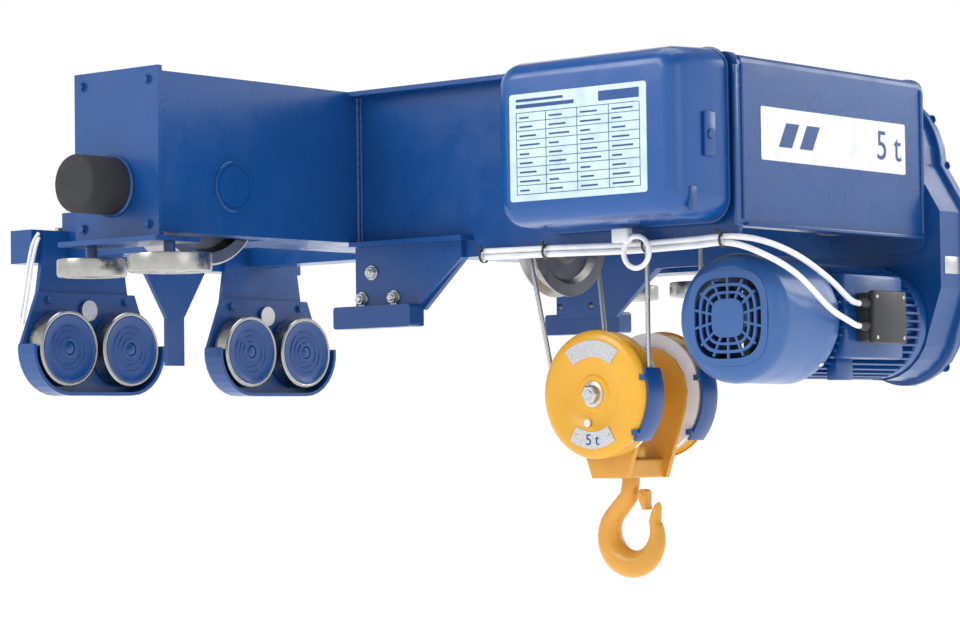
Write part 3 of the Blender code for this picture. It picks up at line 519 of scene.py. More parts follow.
def make_load_wheels():
    for where in ("front", "rear"):
        low, high = map(Vector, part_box("load_wheel_" + where))
        centre, radius = middle("load_wheel_" + where), (high.z - low.z) / 2
        half, stub = 0.0425, (high.x - low.x) / 2
        right = [(0, stub), (0.025, stub), (0.025, half + 0.004), (0.046, half + 0.002), (0.052, 0.022),
                 (radius - 0.036, 0.016), (radius - 0.028, half - 0.002), (radius - 0.005, half),
                 (radius - 0.001, half - 0.004)]
        shape = bmesh.new()
        lathe(shape, right + [(r, -a) for r, a in reversed(right)], "X", centre)
        steel = machined("tread_steel_" + where, "X", centre, colours().steel, 500.0, 0.30)
        settle("rail_wheel_" + where, shape, "wheel_" + where, steel, ["load_wheel_" + where])


def make_guide_rollers():
    """Turned rollers with a bright rim below."""
    for where in ("front", "rear"):
        for side in ("outer", "inner"):
            node = f"guide_roller_{where}_{side}"
            low, high = map(Vector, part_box(node))
            centre, radius = middle(node), (high.x - low.x) / 2
            z0, z1 = low.z - centre.z, high.z - centre.z
            profile = [(0.0125, z1), (radius - 0.004, z1), (radius - 0.001, z1 - 0.001), (radius, z1 - 0.004),
                       (radius, z0 + 0.006), (radius - 0.0015, z0 + 0.0015), (radius - 0.004, z0),
                       (radius - 0.013, z0),
                       (radius - 0.015, z0 + 0.003), (radius - 0.022, z0 + 0.004), (0.034, z0 + 0.004),
                       (0.032, z0 + 0.001), (0.026, z0), (0.0125, z0)]
            shape = bmesh.new()
            lathe(shape, profile, "Z", centre, closed=True)
            steel = machined("roller_steel_" + node[13:], "Z", centre, colours().steel, 700.0, 0.20)
            settle(node + "_turned", shape, f"roller_{where}_{side}", steel, [node])


def make_bogies():
    """Counter wheels: blue painted faces with steel treads, hubs and ring grooves."""
    for where in ("front", "rear"):
        for number in (1, 2):
            node = f"bogie_wheel_{where}_{number}"
            body = f"counter_wheel_{where}_{number}"
            low, high = map(Vector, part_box(node))
            centre, radius, half = middle(node), (high.z - low.z) / 2, (high.x - low.x) / 2
            tread = [(radius - 0.0085, half - 0.0004), (radius - 0.007, half), (radius - 0.0025, half),
                     (radius, half - 0.003), (radius, -half + 0.003), (radius - 0.003, -half), (0.016, -half),
                     (0.016, half - 0.009), (radius - 0.0085, half - 0.009)]
            shape = bmesh.new()
            lathe(shape, tread, "X", centre, closed=True)
            steel = machined(f"counter_tread_{where}_{number}", "X", centre, colours().steel, 700.0, 0.20)
            settle(node + "_tread", shape, body, steel, [node])
            face = [(radius - 0.0088, half - 0.0085), (radius - 0.0088, half - 0.0015),
                    (radius - 0.012, half - 0.0008),
                    (radius - 0.016, half - 0.0030), (0.054, half - 0.0036), (0.0525, half - 0.0015),
                    (0.0505, half - 0.0015), (0.049, half - 0.0038), (0.040, half - 0.0040),
                    (0.0385, half - 0.0018),
                    (0.0365, half - 0.0018), (0.035, half - 0.0040), (0.0265, half - 0.0040),
                    (0.0245, half - 0.0010),
                    (0.0155, half - 0.0008), (0.0155, half - 0.0085)]
            shape = bmesh.new()
            lathe(shape, face, "X", centre, closed=True)
            settle(node + "_face", shape, body, "blue")
            hub = bmesh.new()
            lathe(hub, [(0, half + 0.0002), (0.010, half + 0.0002), (0.0125, half - 0.0012),
                        (0.0138, half - 0.0030),
                        (0.0138, half - 0.0080), (0, half - 0.0080)], "X", centre)
            settle(node + "_cap", hub, body, "blue")
        low, high = map(Vector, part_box("bogie_" + where))
        pin = middle("bogie_pin_" + where)
        shape = bmesh.new()
        for offset in (-0.120, 0.120):
            hexagon_bolt(shape, (low.x + 0.010, pin.y + offset, pin.z + 0.022), "X", 1, 0.018)
        settle("bogie_plate_bolts_" + where, shape, "rocker_" + where, "blue")
    arm_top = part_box("counter_frame")[1][2]
    frame_low = Vector(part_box("counter_frame")[0])
    bolts = bmesh.new()
    for side in (-1, 1):
        for offset in (-0.030, 0.030):
            hexagon_bolt(bolts, (frame_low.x + 0.035, side * 0.296 + offset, 0.135), "Z", 1, 0.024)
    settle("counter_beam_bolts", bolts, "trolley", "zinc")
    for side, where in ((-1, "front"), (1, "rear")):
        for edge in (-0.045, 0.045):
            y = side * 0.296 + edge
            bead(f"arm_weld_{where}_{'a' if edge < 0 else 'b'}", [(-0.118, y, 0.075), (-0.118, y, arm_top)],
                 "trolley")


def make_claw_pieces():
    """Zinc hexagon bolts of the front claw, with washers and their stud ends."""
    for number in (1, 2, 3):
        node = f"claw_bolt_{number}"
        low, high = map(Vector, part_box(node))
        centre = middle(node)
        shape = bmesh.new()
        head = low.y + 0.0100
        lathe(shape, [(0, 0.0002), (0.0160, 0.0002), (0.0160, -0.0022), (0.0153, -0.0028), (0, -0.0028)], "Y",
              (centre.x, head, centre.z), 40)
        lathe(shape, [(0, -0.0028), (0.0130, -0.0028), (0.0135, -0.0038), (0.0135, -0.0092),
                      (0.0118, -0.0110),
                      (0, -0.0110)], "Y", (centre.x, head, centre.z), 6)
        lathe(shape, [(0, -0.0110), (0.0070, -0.0110), (0.0070, -0.0145), (0.0058, -0.0157), (0, -0.0157)],
              "Y",
              (centre.x, head, centre.z), 32)
        lathe(shape, [(0, high.y - head), (0.0078, high.y - head), (0.0078, 0.0), (0, 0.0)], "Y",
              (centre.x, head, centre.z), 24)
        settle(node + "_turned", shape, "trolley", "zinc", [node])


# ---------------------------------------------------------------- hoist frame

def make_housing():
    """Label, lips and weld beads of the drum housing."""
    low, high = map(Vector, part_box("drum_housing"))
    shape = bmesh.new()
    x = high.x
    prism(shape, rounded((low.y + 0.062, 0.172), (high.y - 0.062, 0.276), 0.004), "X", x + 0.0002, x + 0.0010)
    settle("capacity_label", shape, "trolley", "label")
    bars = bmesh.new()
    for share in (0.10, 0.30):
        start = low.y + 0.085 + 0.36 * share
        prism(bars, [(start, 0.200), (start + 0.045, 0.200), (start + 0.072, 0.248),
                     (start + 0.027, 0.248)], "X",
              x + 0.0010, x + 0.0014)
    settle("label_stripes", bars, "trolley", "blue")
    lettering("capacity_figures", "5 t", 0.085, (x + 0.0012, high.y - 0.125, 0.224), "+X", "trolley")
    lip = bmesh.new()
    slab(lip, (x - 0.004, low.y + 0.004, low.z - 0.003), (x + 0.010, high.y - 0.004, low.z + 0.004), 0.002)
    settle("housing_lip", lip, "trolley", "blue")
    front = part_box("cross_beam_front")
    for side, y in ((-1, low.y), (1, high.y)):
        bead(f"housing_weld_{'front' if side < 0 else 'rear'}", [(x + 0.001, y, low.z + 0.010),
                                                                (x + 0.001, y, high.z - 0.020)], "trolley")
        bead(f"housing_top_weld_{'front' if side < 0 else 'rear'}", [(low.x, y, high.z + 0.0005),
                                                                    (x - 0.020, y, high.z + 0.0005)],
             "trolley")
    edge = bmesh.new()
    slab(edge, (front[1][0] - 0.006, -0.3445, 0.040), (front[1][0] + 0.001, -0.3335, 0.350), 0.0015)
    settle("plate_edge_strip", edge, "trolley", "blue")


def gearbox_outline(margin):
    """The same casing outline as the frame's, from the gearbox's own box."""
    low, high = map(Vector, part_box("gearbox_cover"))
    drum, motor = middle("drum"), middle("fan")
    radius_top = high.z - drum.z
    radius_low = motor.z - low.z
    side = high.x - motor.x
    top = arc((drum.x, drum.z), radius_top + margin, 0, 180, 40)
    bottom = arc((motor.x, motor.z), radius_low + margin, 200, 350, 30)
    return top + [(drum.x - 0.164 - margin, 0.100)] + bottom + [(motor.x + side + margin, -0.060),
                                                               (motor.x + side + margin, 0.100)]


def make_gearbox():
    low, high = map(Vector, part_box("gearbox_cover"))
    flange = bmesh.new()
    prism(flange, gearbox_outline(0.007), "Y", low.y - 0.008, low.y + 0.008, 0.002)
    settle("gearbox_flange", flange, "trolley", "blue")
    back = bmesh.new()
    prism(back, gearbox_outline(-0.012), "Y", high.y + 0.0002, high.y + 0.006, 0.003)
    settle("gearbox_back_pad", back, "trolley", "blue")
    bolts = bmesh.new()
    rim = gearbox_outline(-0.004)
    for across, up in rim[::8]:
        hexagon_bolt(bolts, (across, high.y, up), "Y", 1, 0.016)
    drum, motor = middle("drum"), middle("fan")
    for centre, radius in ((drum, 0.055), (motor, 0.045)):
        lathe(bolts, [(0, 0.006), (radius - 0.010, 0.012), (radius, 0.010), (radius + 0.002, 0.0)], "Y",
              (centre.x, high.y, centre.z), 72)
    settle("gearbox_bolts", bolts, "trolley", "blue")
    plate = bmesh.new()
    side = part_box("gearbox_housing")[1][0]
    slab(plate, (side + 0.0002, low.y - 0.085, -0.030), (side + 0.0014, low.y - 0.025, 0.006), 0.0004)
    settle("gearbox_plate", plate, "trolley", "zinc")


def make_control_cover():
    """A deep pressed cover with a rolled front, a side latch and a rating plate."""
    low, high = map(Vector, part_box("control_cover"))
    shape = bmesh.new()
    outline = rounded((low.x, low.z), (high.x, high.z), 0.046, 10)
    verts = [shape.verts.new((x, high.y, z)) for x, z in outline]
    edges = [shape.edges.new(pair) for pair in zip(verts, verts[1:] + verts[:1])]
    front = []
    for depth, shrink in ((-0.004, 0.0), (-0.112, 0.006), (-0.150, 0.012)):
        made = bmesh.ops.extrude_edge_only(shape, edges=edges)["geom"]
        front = [item for item in made if isinstance(item, bmesh.types.BMVert)]
        edges = [item for item in made if isinstance(item, bmesh.types.BMEdge)
                 and all(vert in front for vert in item.verts)]
        centre = ((low.x + high.x) / 2, 0, (low.z + high.z) / 2)
        reach = (high.x - low.x) / 2, (high.z - low.z) / 2
        for vert in front:
            vert.co.y = high.y + depth
        bmesh.ops.scale(shape, vec=(1 - shrink / reach[0], 1, 1 - shrink / reach[1]),
                        space=Matrix.Translation([-value for value in centre]), verts=front)
    bmesh.ops.contextual_create(shape, geom=edges)
    bmesh.ops.recalc_face_normals(shape, faces=shape.faces)
    bmesh.ops.bevel(shape, geom=edges, offset=0.024, segments=8, affect="EDGES", profile=0.5, material=-1)
    # Its finish is the lighter copy of the blue paint, a painted highlight on the cover's face.
    cover = settle("pressed_cover", shape, "cover", "cover", ["control_cover"], 50.0, False)
    wall = cover.modifiers.new("wall", "SOLIDIFY")
    wall.thickness = 0.004
    wall.offset = -1.0
    y = low.y
    plate_low, plate_high = (low.x + 0.050, low.z + 0.052), (high.x - 0.078, high.z - 0.072)
    shape = bmesh.new()
    prism(shape, rounded(plate_low, plate_high, 0.006), "Y", y - 0.0012, y + 0.0005)
    settle("rating_plate", shape, "cover", "plate")
    make_rating_table(plate_low, plate_high, y - 0.0012)
    latch = bmesh.new()
    side = high.x
    slab(latch, (side - 0.003, high.y - 0.075, low.z + 0.120), (side + 0.004, high.y - 0.040,
                                                                low.z + 0.205), 0.002)
    lathe(latch, [(0, 0.008), (0.009, 0.008), (0.010, 0.006), (0.010, 0.0)], "X",
          (side + 0.001, high.y - 0.058, low.z + 0.162), 40)
    settle("cover_latch", latch, "cover", "blue")
    rim = bmesh.new()
    prism(rim, rounded((low.x - 0.003, low.z - 0.003), (high.x + 0.003, high.z + 0.003), 0.048, 10), "Y",
          high.y + 0.0004, high.y + 0.0060, 0.0015)
    settle("cover_seal", rim, "trolley", "blue")
    recess = bmesh.new()
    prism(recess, rounded((high.y - 0.115, low.z + 0.012), (high.y - 0.095, low.z + 0.060), 0.003), "X",
          side - 0.0120, side - 0.0030, 0.001)
    settle("cover_notch", recess, "cover", "blue")


def make_rating_table(low, high, y):
    """A ruled table with blue fields and no words on it."""
    ink = bmesh.new()
    width, height = high[0] - low[0], high[1] - low[1]
    thin = 0.0012

    def bar(left, bottom, right, top):
        prism(ink, [(low[0] + left * width, low[1] + bottom * height), (low[0] + right * width,
                                                                        low[1] + bottom * height),
                    (low[0] + right * width, low[1] + top * height), (low[0] + left * width,
                                                                      low[1] + top * height)],
              "Y", y - 0.0005, y + 0.0001)

    bar(0.05, 0.865, 0.48, 0.90)
    bar(0.05, 0.925, 0.40, 0.95)
    bar(0.66, 0.86, 0.95, 0.95)
    rows = 9
    for index in range(rows + 1):
        z = 0.06 + 0.76 * index / rows
        bar(0.05, z, 0.95, z + thin / height)
    for x in (0.05, 0.27, 0.50, 0.73, 0.95):
        bar(x, 0.06, x + thin / width, 0.82)
    for row in range(rows):
        for column in range(4):
            left = (0.05, 0.27, 0.50, 0.73)[column] + 0.025
            z = 0.06 + 0.76 * (row + 0.38) / rows
            length = 0.07 + 0.08 * ((row * 7 + column * 5) % 4) / 3
            bar(left, z, left + length, z + 0.016)
    settle("rating_table", ink, "cover", "blue")


# ---------------------------------------------------------------- motor

def make_motor():
    """Ribbed stator frame, end shields, smooth fan cowl with its grille."""
    low, high = map(Vector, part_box("motor_housing"))
    centre, outer = middle("motor_housing"), (high.x - low.x) / 2
    core = outer - 0.016
    count = sizes().ribs
    outline = []
    for index in range(count):
        turn = 360.0 * index / count
        for offset, radius in ((-0.28, core), (-0.14, outer), (0.14, outer), (0.28, core)):
            angle = radians(turn + offset * 360.0 / count)
            outline.append((centre.x + radius * cos(angle), centre.z + radius * sin(angle)))
    shape = bmesh.new()
    prism(shape, outline, "Y", low.y + 0.024, high.y - 0.030)
    for y0, y1 in ((low.y, low.y + 0.024), (high.y - 0.030, high.y)):
        lathe(shape, [(0, y0 - centre.y), (outer - 0.006, y0 - centre.y),
                      (outer - 0.002, y0 - centre.y + 0.004),
                      (outer - 0.002, y1 - centre.y - 0.004), (outer - 0.006, y1 - centre.y),
                      (0, y1 - centre.y)],
              "Y", centre)
    for x in (-1, 1):
        slab(shape, (centre.x + x * 0.075 - 0.012, low.y + 0.05, centre.z - outer - 0.004),
             (centre.x + x * 0.075 + 0.012, low.y + 0.11, centre.z - outer + 0.040), 0.002)
    settle("ribbed_frame", shape, "trolley", "blue", ["motor_housing"], 28.0)
    make_cowl()
    make_terminal_box()


def superellipse(centre, reach, power, steps=72):
    points = []
    for index in range(steps):
        angle = 2 * pi * index / steps
        c, s = cos(angle), sin(angle)
        scale = reach / (abs(c) ** power + abs(s) ** power) ** (1 / power)
        points.append((centre[0] + scale * c, centre[1] + scale * s))
    return points


def ring(shape, centre, outer, inner, power, low, high):
    """A flat band between two superellipses."""
    verts = [shape.verts.new((x, low, z)) for x, z in superellipse(centre, outer, power)]
    band = list(verts)
    edges = [shape.edges.new(pair) for pair in zip(verts, verts[1:] + verts[:1])]
    home = Matrix.Translation((-centre[0], 0, -centre[1]))
    for lift, factor in ((high - low, 1.0), (0.0, inner / outer), (low - high, 1.0), (0.0, outer / inner)):
        made = bmesh.ops.extrude_edge_only(shape, edges=edges)["geom"]
        verts = [item for item in made if isinstance(item, bmesh.types.BMVert)]
        fresh = set(verts)
        edges = [item for item in made
                 if isinstance(item, bmesh.types.BMEdge) and fresh.issuperset(item.verts)]
        bmesh.ops.translate(shape, vec=(0, lift, 0), verts=verts)
        bmesh.ops.scale(shape, vec=(factor, 1.0, factor), space=home, verts=verts)
        band += verts
    bmesh.ops.remove_doubles(shape, verts=band, dist=0.00002)
    for face in shape.faces:
        face.tag = True


def make_cowl():
    low, high = map(Vector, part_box("fan_cowl"))
    centre, radius = middle("fan_cowl"), (high.x - low.x) / 2
    start, end = low.y - centre.y, high.y - centre.y
    opening = 0.092
    profile = [(opening, start + 0.002), (radius * 0.76, start)]
    profile += [(radius * 0.76 + 0.031 * sin(radians(a)),
                 start + 0.031 * (1 - cos(radians(a)))) for a in range(10, 91, 8)]
    profile += [(radius - 0.0015, start + 0.060), (radius, end - 0.030), (radius, end - 0.006),
                (radius - 0.002, end)]
    profile += [(radius - 0.006, end), (radius - 0.006, start + 0.040), (radius * 0.74, start + 0.004),
                (opening, start + 0.006)]
    shape = bmesh.new()
    lathe(shape, profile, "Y", centre, closed=True)
    settle("smooth_cowl", shape, "trolley", "cowl", ["fan_cowl"], 40.0)
    grille = bmesh.new()
    where = (centre.x, centre.z)
    y0, y1 = low.y - 0.0015, low.y + 0.0045
    for outer, inner in ((0.095, 0.080), (0.069, 0.063), (0.053, 0.048)):
        ring(grille, where, outer, inner, 3.2, y0, y1)
    prism(grille, superellipse(where, 0.038, 3.4), "Y", y0 - 0.0008, y1)
    for index in range(14):
        angle = 2 * pi * (index + 0.5) / 14
        spoke = bmesh.new()
        slab(spoke, (0.034, -0.0028, -0.0024), (0.083, 0.0028, 0.0024))
        place = Matrix.Translation((centre.x, y0 + 0.0030, centre.z)) @ Matrix.Rotation(angle, 4, "Y")
        bmesh.ops.transform(spoke, matrix=place, verts=spoke.verts)
        copy = bpy.data.meshes.new("spoke")
        spoke.to_mesh(copy)
        spoke.free()
        grille.from_mesh(copy)
        bpy.data.meshes.remove(copy)
    settle("cowl_grille", grille, "trolley", "cowl", (), 30.0)
    screws = bmesh.new()
    for turn in (-45, 45, 135, 225):
        x, z = arc(where, radius, turn, turn, 1)[0]
        mark = bmesh.new()
        lathe(mark, [(0, 0.0035), (0.0050, 0.0030), (0.0062, 0.0010), (0.0062, -0.002)], "Z", (0, 0, 0), 24)
        place = Matrix.Translation((x, high.y - 0.012, z)) @ Matrix.Rotation(radians(90 - turn), 4, "Y")
        bmesh.ops.transform(mark, matrix=place, verts=mark.verts)
        piece = bpy.data.meshes.new("mark")
        mark.to_mesh(piece)
        mark.free()
        screws.from_mesh(piece)
        bpy.data.meshes.remove(piece)
    settle("cowl_screws", screws, "trolley", "zinc", (), 32.0)


def make_terminal_box():
    low, high = map(Vector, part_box("terminal_box"))
    shape = bmesh.new()
    split = high.x - 0.016
    slab(shape, (low.x - 0.002, low.y + 0.004, low.z + 0.004), (split, high.y - 0.004, high.z - 0.004), 0.004)
    slab(shape, (split + 0.0006, low.y, low.z), (high.x, high.y, high.z), 0.005)
    settle("terminal_case", shape, "trolley", "black", ["terminal_box"])
    pad = bmesh.new()
    slab(pad, (low.x - 0.045, low.y - 0.035, low.z - 0.030), (low.x - 0.001, high.y + 0.060,
                                                              high.z + 0.036), 0.010)
    settle("terminal_pad", pad, "trolley", "blue")
    screws = bmesh.new()
    for y in (low.y + 0.012, high.y - 0.012):
        for z in (low.z + 0.012, high.z - 0.012):
            lathe(screws, [(0, 0.0008), (0.0034, 0.0008), (0.0040, 0.0), (0.0040, -0.001)], "X",
                  (high.x, y, z), 24)
    settle("terminal_screws", screws, "trolley", "zinc")
    glands = bmesh.new()
    for z in (-0.100, -0.145):
        base = (1.134, low.y, z)
        lathe(glands, [(0.0055, 0.002), (0.0115, 0.002), (0.0115, -0.008), (0.0100, -0.010), (0.0090, -0.020),
                       (0.0065, -0.026), (0.0055, -0.026)], "Y", base, 40, True)
    settle("cable_glands", glands, "trolley", "black")


# ---------------------------------------------------------------- bottom block

def make_block():
    """Painted covers with label plates, a hub nut, pale sheave rims and rope guards."""
    for side, where in ((-1, "front"), (1, "rear")):
        low, high = map(Vector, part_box("block_cover_" + where))
        centre, radius = middle("block_cover_" + where), (high.x - low.x) / 2
        half = (high.y - low.y) / 2
        s = side
        outer = [(0.021, s * (half - 0.003)), (0.038, s * (half - 0.003)), (0.041, s * (half - 0.0055)),
                 (0.062, s * (half - 0.0055)), (0.070, s * (half - 0.001)), (0.110, s * half),
                 (radius - 0.016, s * (half - 0.0005)), (radius - 0.007, s * (half - 0.003)),
                 (radius - 0.0015, s * (half - 0.0085)), (radius, s * (half - 0.0125)), (radius, -s * half),
                 (radius - 0.008, -s * half), (radius - 0.012, -s * (half - 0.002)),
                 (0.021, -s * (half - 0.002))]
        shape = bmesh.new()
        lathe(shape, outer, "Y", centre, 128, True)
        settle("dished_cover_" + where, shape, "block", "block", ["block_cover_" + where])
        face = low.y if side < 0 else high.y
        make_cover_plates(where, side, face, centre)
        make_sheave(where)
        make_rope_guard(where)
    pale = bmesh.new()
    for node, side in (("block_sheave_front", -1), ("block_sheave_rear", 1)):
        centre = middle(node)
        low, high = map(Vector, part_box(node))
        inner = high.y + 0.0035 if side < 0 else low.y - 0.0035
        step = side * 0.0030
        lathe(pale, [(0.096, inner - step), (0.1285, inner - step), (0.1285, inner + step),
                     (0.096, inner + step)],
              "Y", (centre.x, 0, centre.z), 96, True)
    settle("inner_bands", pale, "block", "label")


def make_cover_plates(where, side, face, centre):
    """Two curved plates and the hub nut on one cover."""
    plates = bmesh.new()
    for start, end in ((52, 128), (-122, -58)):
        outline = arc((centre.x, centre.z), 0.111, start, end, 18) + arc((centre.x, centre.z), 0.076, end,
                                                                         start, 18)
        near, far = sorted((face, face + side * 0.0012))
        prism(plates, outline if side < 0 else outline[::-1], "Y", near, far, 0.0003, 1)
    settle("cover_plates_" + where, plates, "block", "zinc")
    rivets = bmesh.new()
    for turn in (57, 123, -117, -63):
        x, z = arc((centre.x, centre.z), 0.094, turn, turn, 1)[0]
        lathe(rivets, [(0, side * 0.0032), (0.0022, side * 0.0030), (0.0036, side * 0.0012), (0.0036, 0)],
              "Y",
              (x, face, z), 20)
    nut = face + (0.003 if side < 0 else -0.003)
    hexagon_bolt(rivets, (centre.x, nut, centre.z), "Y", side, 0.040)
    lathe(rivets, [(0, side * 0.0200), (0.008, side * 0.0190), (0.0095, side * 0.0165),
                   (0.0095, side * 0.010)], "Y",
          (centre.x, nut, centre.z), 32)
    settle("cover_fasteners_" + where, rivets, "block", "zinc")
    if side < 0:
        lettering("block_figures", "5 t", 0.032, (centre.x, face - 0.0016, centre.z - 0.0935), "-Y", "block")
        dot = bmesh.new()
        lathe(dot, [(0, -0.0030), (0.005, -0.0028), (0.0085, -0.0004), (0.0085, 0)], "Y",
              (centre.x - 0.014, face, centre.z - 0.058), 32)
        settle("grease_plug", dot, "block", "sheath")


def make_sheave(where):
    """A turned sheave with a round-bottomed groove."""
    node = "block_sheave_" + where
    centre, half = middle(node), 0.018
    floor, rim = 0.1148, 0.1285
    groove = [(rim, 0.0150), (rim - 0.0015, 0.0140)]
    groove += [(floor + 0.0062 - 0.0062 * cos(radians(a)),
                0.0064 * sin(radians(a)) + 0.0001) for a in (90, 60, 30, 0)]
    right = [(0.0205, half), (0.050, half), (0.056, 0.007), (0.092, 0.007), (0.100, half),
             (rim, half)] + groove
    shape = bmesh.new()
    lathe(shape, right + [(r, -a) for r, a in reversed(right[:-1])], "Y", centre, 112, True)
    settle(node + "_turned", shape, "sheave_" + where, "block", [node])


def make_rope_guard(where):
    """A bent strip that keeps the rope in its groove, at the open side of the cover."""
    centre = middle("block_sheave_" + where)
    shape = bmesh.new()
    outline = arc((centre.x, centre.z), 0.1395, -44, 22, 20) + arc((centre.x, centre.z), 0.1345, 22, -44, 20)
    prism(shape, outline, "Y", centre.y - 0.026, centre.y + 0.026, 0.001)
    for turn in (-36, 14):
        x, z = arc((centre.x, centre.z), 0.1345, turn, turn, 1)[0]
        slab(shape, (x - 0.010, centre.y - 0.0345, z - 0.006), (x + 0.004, centre.y - 0.0255, z + 0.006),
             0.001)
    settle("rope_guard_" + where, shape, "block", "blue")


def make_hook():
    """A forged hook whose section thins towards its point, with a pressed latch."""
    low, high = map(Vector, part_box("hook"))
    yoke_top = high.z - 0.019
    axis = middle("block_yoke")
    x, y = axis.x, axis.y
    bowl = (x + 0.005, low.z + 0.0915)
    neck = [(x, yoke_top + 0.018), (x, yoke_top - 0.020), (x, yoke_top - 0.058),
            (x - 0.005, yoke_top - 0.086)]
    curve = arc(bowl, 0.0615, 136, 385, 34)
    tip = [(bowl[0] + 0.0590, bowl[1] + 0.042), (bowl[0] + 0.0640, bowl[1] + 0.058),
           (bowl[0] + 0.0665, bowl[1] + 0.066)]
    route = neck + curve + tip
    widths = [0.0186, 0.0186, 0.0188, 0.0195]
    for index in range(len(curve)):
        share = index / (len(curve) - 1)
        if share < 0.8:
            widths.append(0.0205 + 0.0095 * sin(pi * min(1.0, share * 1.25)))
        else:
            widths.append(0.0205 - 0.035 * (share - 0.8))
    widths += [0.0115, 0.0080, 0.0030]
    shape = bmesh.new()
    loops = []
    for index, ((px, pz), width) in enumerate(zip(route, widths)):
        before, after = route[max(0, index - 1)], route[min(len(route) - 1, index + 1)]
        heading = atan2(after[1] - before[1], after[0] - before[0])
        made = bmesh.ops.create_circle(shape, cap_ends=index in (0, len(route) - 1), radius=width,
                                       segments=28)
        flat = 0.92 if 4 < index < len(route) - 3 else 1.0
        bmesh.ops.scale(shape, vec=(1.0, flat, 1.0), verts=made["verts"])
        place = Matrix.Translation((px, y, pz)) @ Matrix.Rotation(pi / 2 - heading, 4, "Y")
        bmesh.ops.transform(shape, matrix=place, verts=made["verts"])
        loops.append([edge for edge in {e for v in made["verts"] for e in v.link_edges}])
    for first, second in zip(loops, loops[1:]):
        bmesh.ops.bridge_loops(shape, edges=first + second)
    for face in shape.faces:
        face.tag = True
    lathe(shape, [(0, 0.018), (0.030, 0.018), (0.032, 0.015), (0.032, -0.005), (0.030, -0.007),
                  (0, -0.007)], "Z",
          (x, y, yoke_top), 48)
    settle("forged_hook", shape, "hook_body", "hook", ["hook"], 50.0)
    low, high = map(Vector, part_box("latch"))
    latch = bmesh.new()
    pivot = (low.x + 0.0115, high.z - 0.0110)
    outline = (arc(pivot, 0.0110, 20, 200, 14) + [(low.x + 0.006, low.z + 0.018),
                                                  (high.x - 0.010, low.z + 0.001),
                                                 (high.x - 0.001, low.z + 0.003),
                                                  (high.x - 0.004, low.z + 0.014)])
    prism(latch, outline, "Y", y - 0.012, y + 0.012, 0.0012)
    lathe(latch, [(0, 0.0175), (0.0042, 0.0165), (0.0052, 0.0145), (0.0052, -0.0145), (0.0042, -0.0165),
                  (0, -0.0175)],
          "Y", (pivot[0], y, pivot[1]), 28)
    settle("pressed_latch", latch, "safety_latch", "hook", ["latch"])


# ---------------------------------------------------------------- ropes and leads

def twisted_rope(name, top, bottom, node):
    """Six strands laid round a core, twisted along the fall, between trolley and block."""
    top, bottom = Vector(top), Vector(bottom)
    length = (top - bottom).length
    size, lay = sizes().rope / 2, sizes().lay
    shape = bmesh.new()
    outline = []
    for index in range(36):
        turn = 2 * pi * index / 36
        reach = size * (0.88 + 0.12 * abs(cos(3 * turn)) ** 0.7)
        outline.append((reach * cos(turn), reach * sin(turn), 0))
    face = shape.faces.new([shape.verts.new(place) for place in outline])
    ring_edges = list(face.edges)
    steps = max(24, int(length / lay * 14))
    bmesh.ops.spin(shape, geom=list(face.verts) + ring_edges, cent=(0, 0, 0), axis=(0, 0, 1),
                   dvec=(0, 0, length / steps), angle=2 * pi * length / lay, steps=steps, use_merge=False)
    turn = (top - bottom).to_track_quat("Z", "Y").to_matrix().to_4x4()
    bmesh.ops.transform(shape, matrix=Matrix.Translation(bottom) @ turn, verts=shape.verts)
    ends = [edge for edge in shape.edges if edge.is_boundary]
    if ends:
        bmesh.ops.holes_fill(shape, edges=ends, sides=0)
    bmesh.ops.remove_doubles(shape, verts=shape.verts, dist=0.00001)
    bmesh.ops.recalc_face_normals(shape, faces=shape.faces)
    mesh = bpy.data.meshes.new(name)
    shape.to_mesh(mesh)
    shape.free()
    piece = bpy.data.objects.new(name, mesh)
    bpy.context.scene.collection.objects.link(piece)
    mesh.shade_smooth()
    piece.data.materials.append(FINISHES["wire"])
    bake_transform(piece)
    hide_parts(node)


def make_ropes():
    block = middle("block_sheave_front"), middle("block_sheave_rear")
    upper = middle("return_sheave")
    falls = {"front": (-1, block[0]), "rear": (1, block[1])}
    for where, (side, sheave) in falls.items():
        twisted_rope("rope_" + where, (upper.x, upper.y + side * 0.1175, upper.z),
                     (sheave.x - 0.120, sheave.y, sheave.z),
                     "rope_fall_" + where)
    anchor_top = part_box("rope_fall_anchor")[1][2]
    twisted_rope("rope_anchor_end", (block[0].x + 0.120, block[0].y, anchor_top),
                 (block[0].x + 0.120, block[0].y, block[0].z),
                 "rope_fall_anchor")
    drum = middle("drum")
    twisted_rope("rope_drum_end", (block[1].x + 0.120, block[1].y, drum.z), (block[1].x + 0.120, block[1].y,
                                                                             block[1].z),
                 "rope_fall_drum")
    for where, (side, sheave) in falls.items():
        wrap = bmesh.new()
        profile = [(0.120 + 0.0048 * cos(radians(a)), 0.0048 * sin(radians(a))) for a in range(0, 360, 30)]
        verts = [wrap.verts.new((sheave.x - r, sheave.y + w, sheave.z - 0.0004)) for r, w in profile]
        edges = [wrap.edges.new(pair) for pair in zip(verts, verts[1:] + verts[:1])]
        bmesh.ops.spin(wrap, geom=verts + edges, cent=sheave, axis=(0, 1, 0), angle=-pi, steps=48)
        settle("rope_round_" + where, wrap, "block", "wire", (), 60.0)
    over = bmesh.new()
    profile = [(0.1175 + 0.0048 * cos(radians(a)), 0.0048 * sin(radians(a))) for a in range(0, 360, 30)]
    verts = [over.verts.new((upper.x + w, upper.y - r, upper.z + 0.0004)) for r, w in profile]
    edges = [over.edges.new(pair) for pair in zip(verts, verts[1:] + verts[:1])]
    bmesh.ops.spin(over, geom=verts + edges, cent=upper, axis=(1, 0, 0), angle=-pi, steps=48)
    settle("rope_over_return", over, "trolley", "wire", (), 60.0)


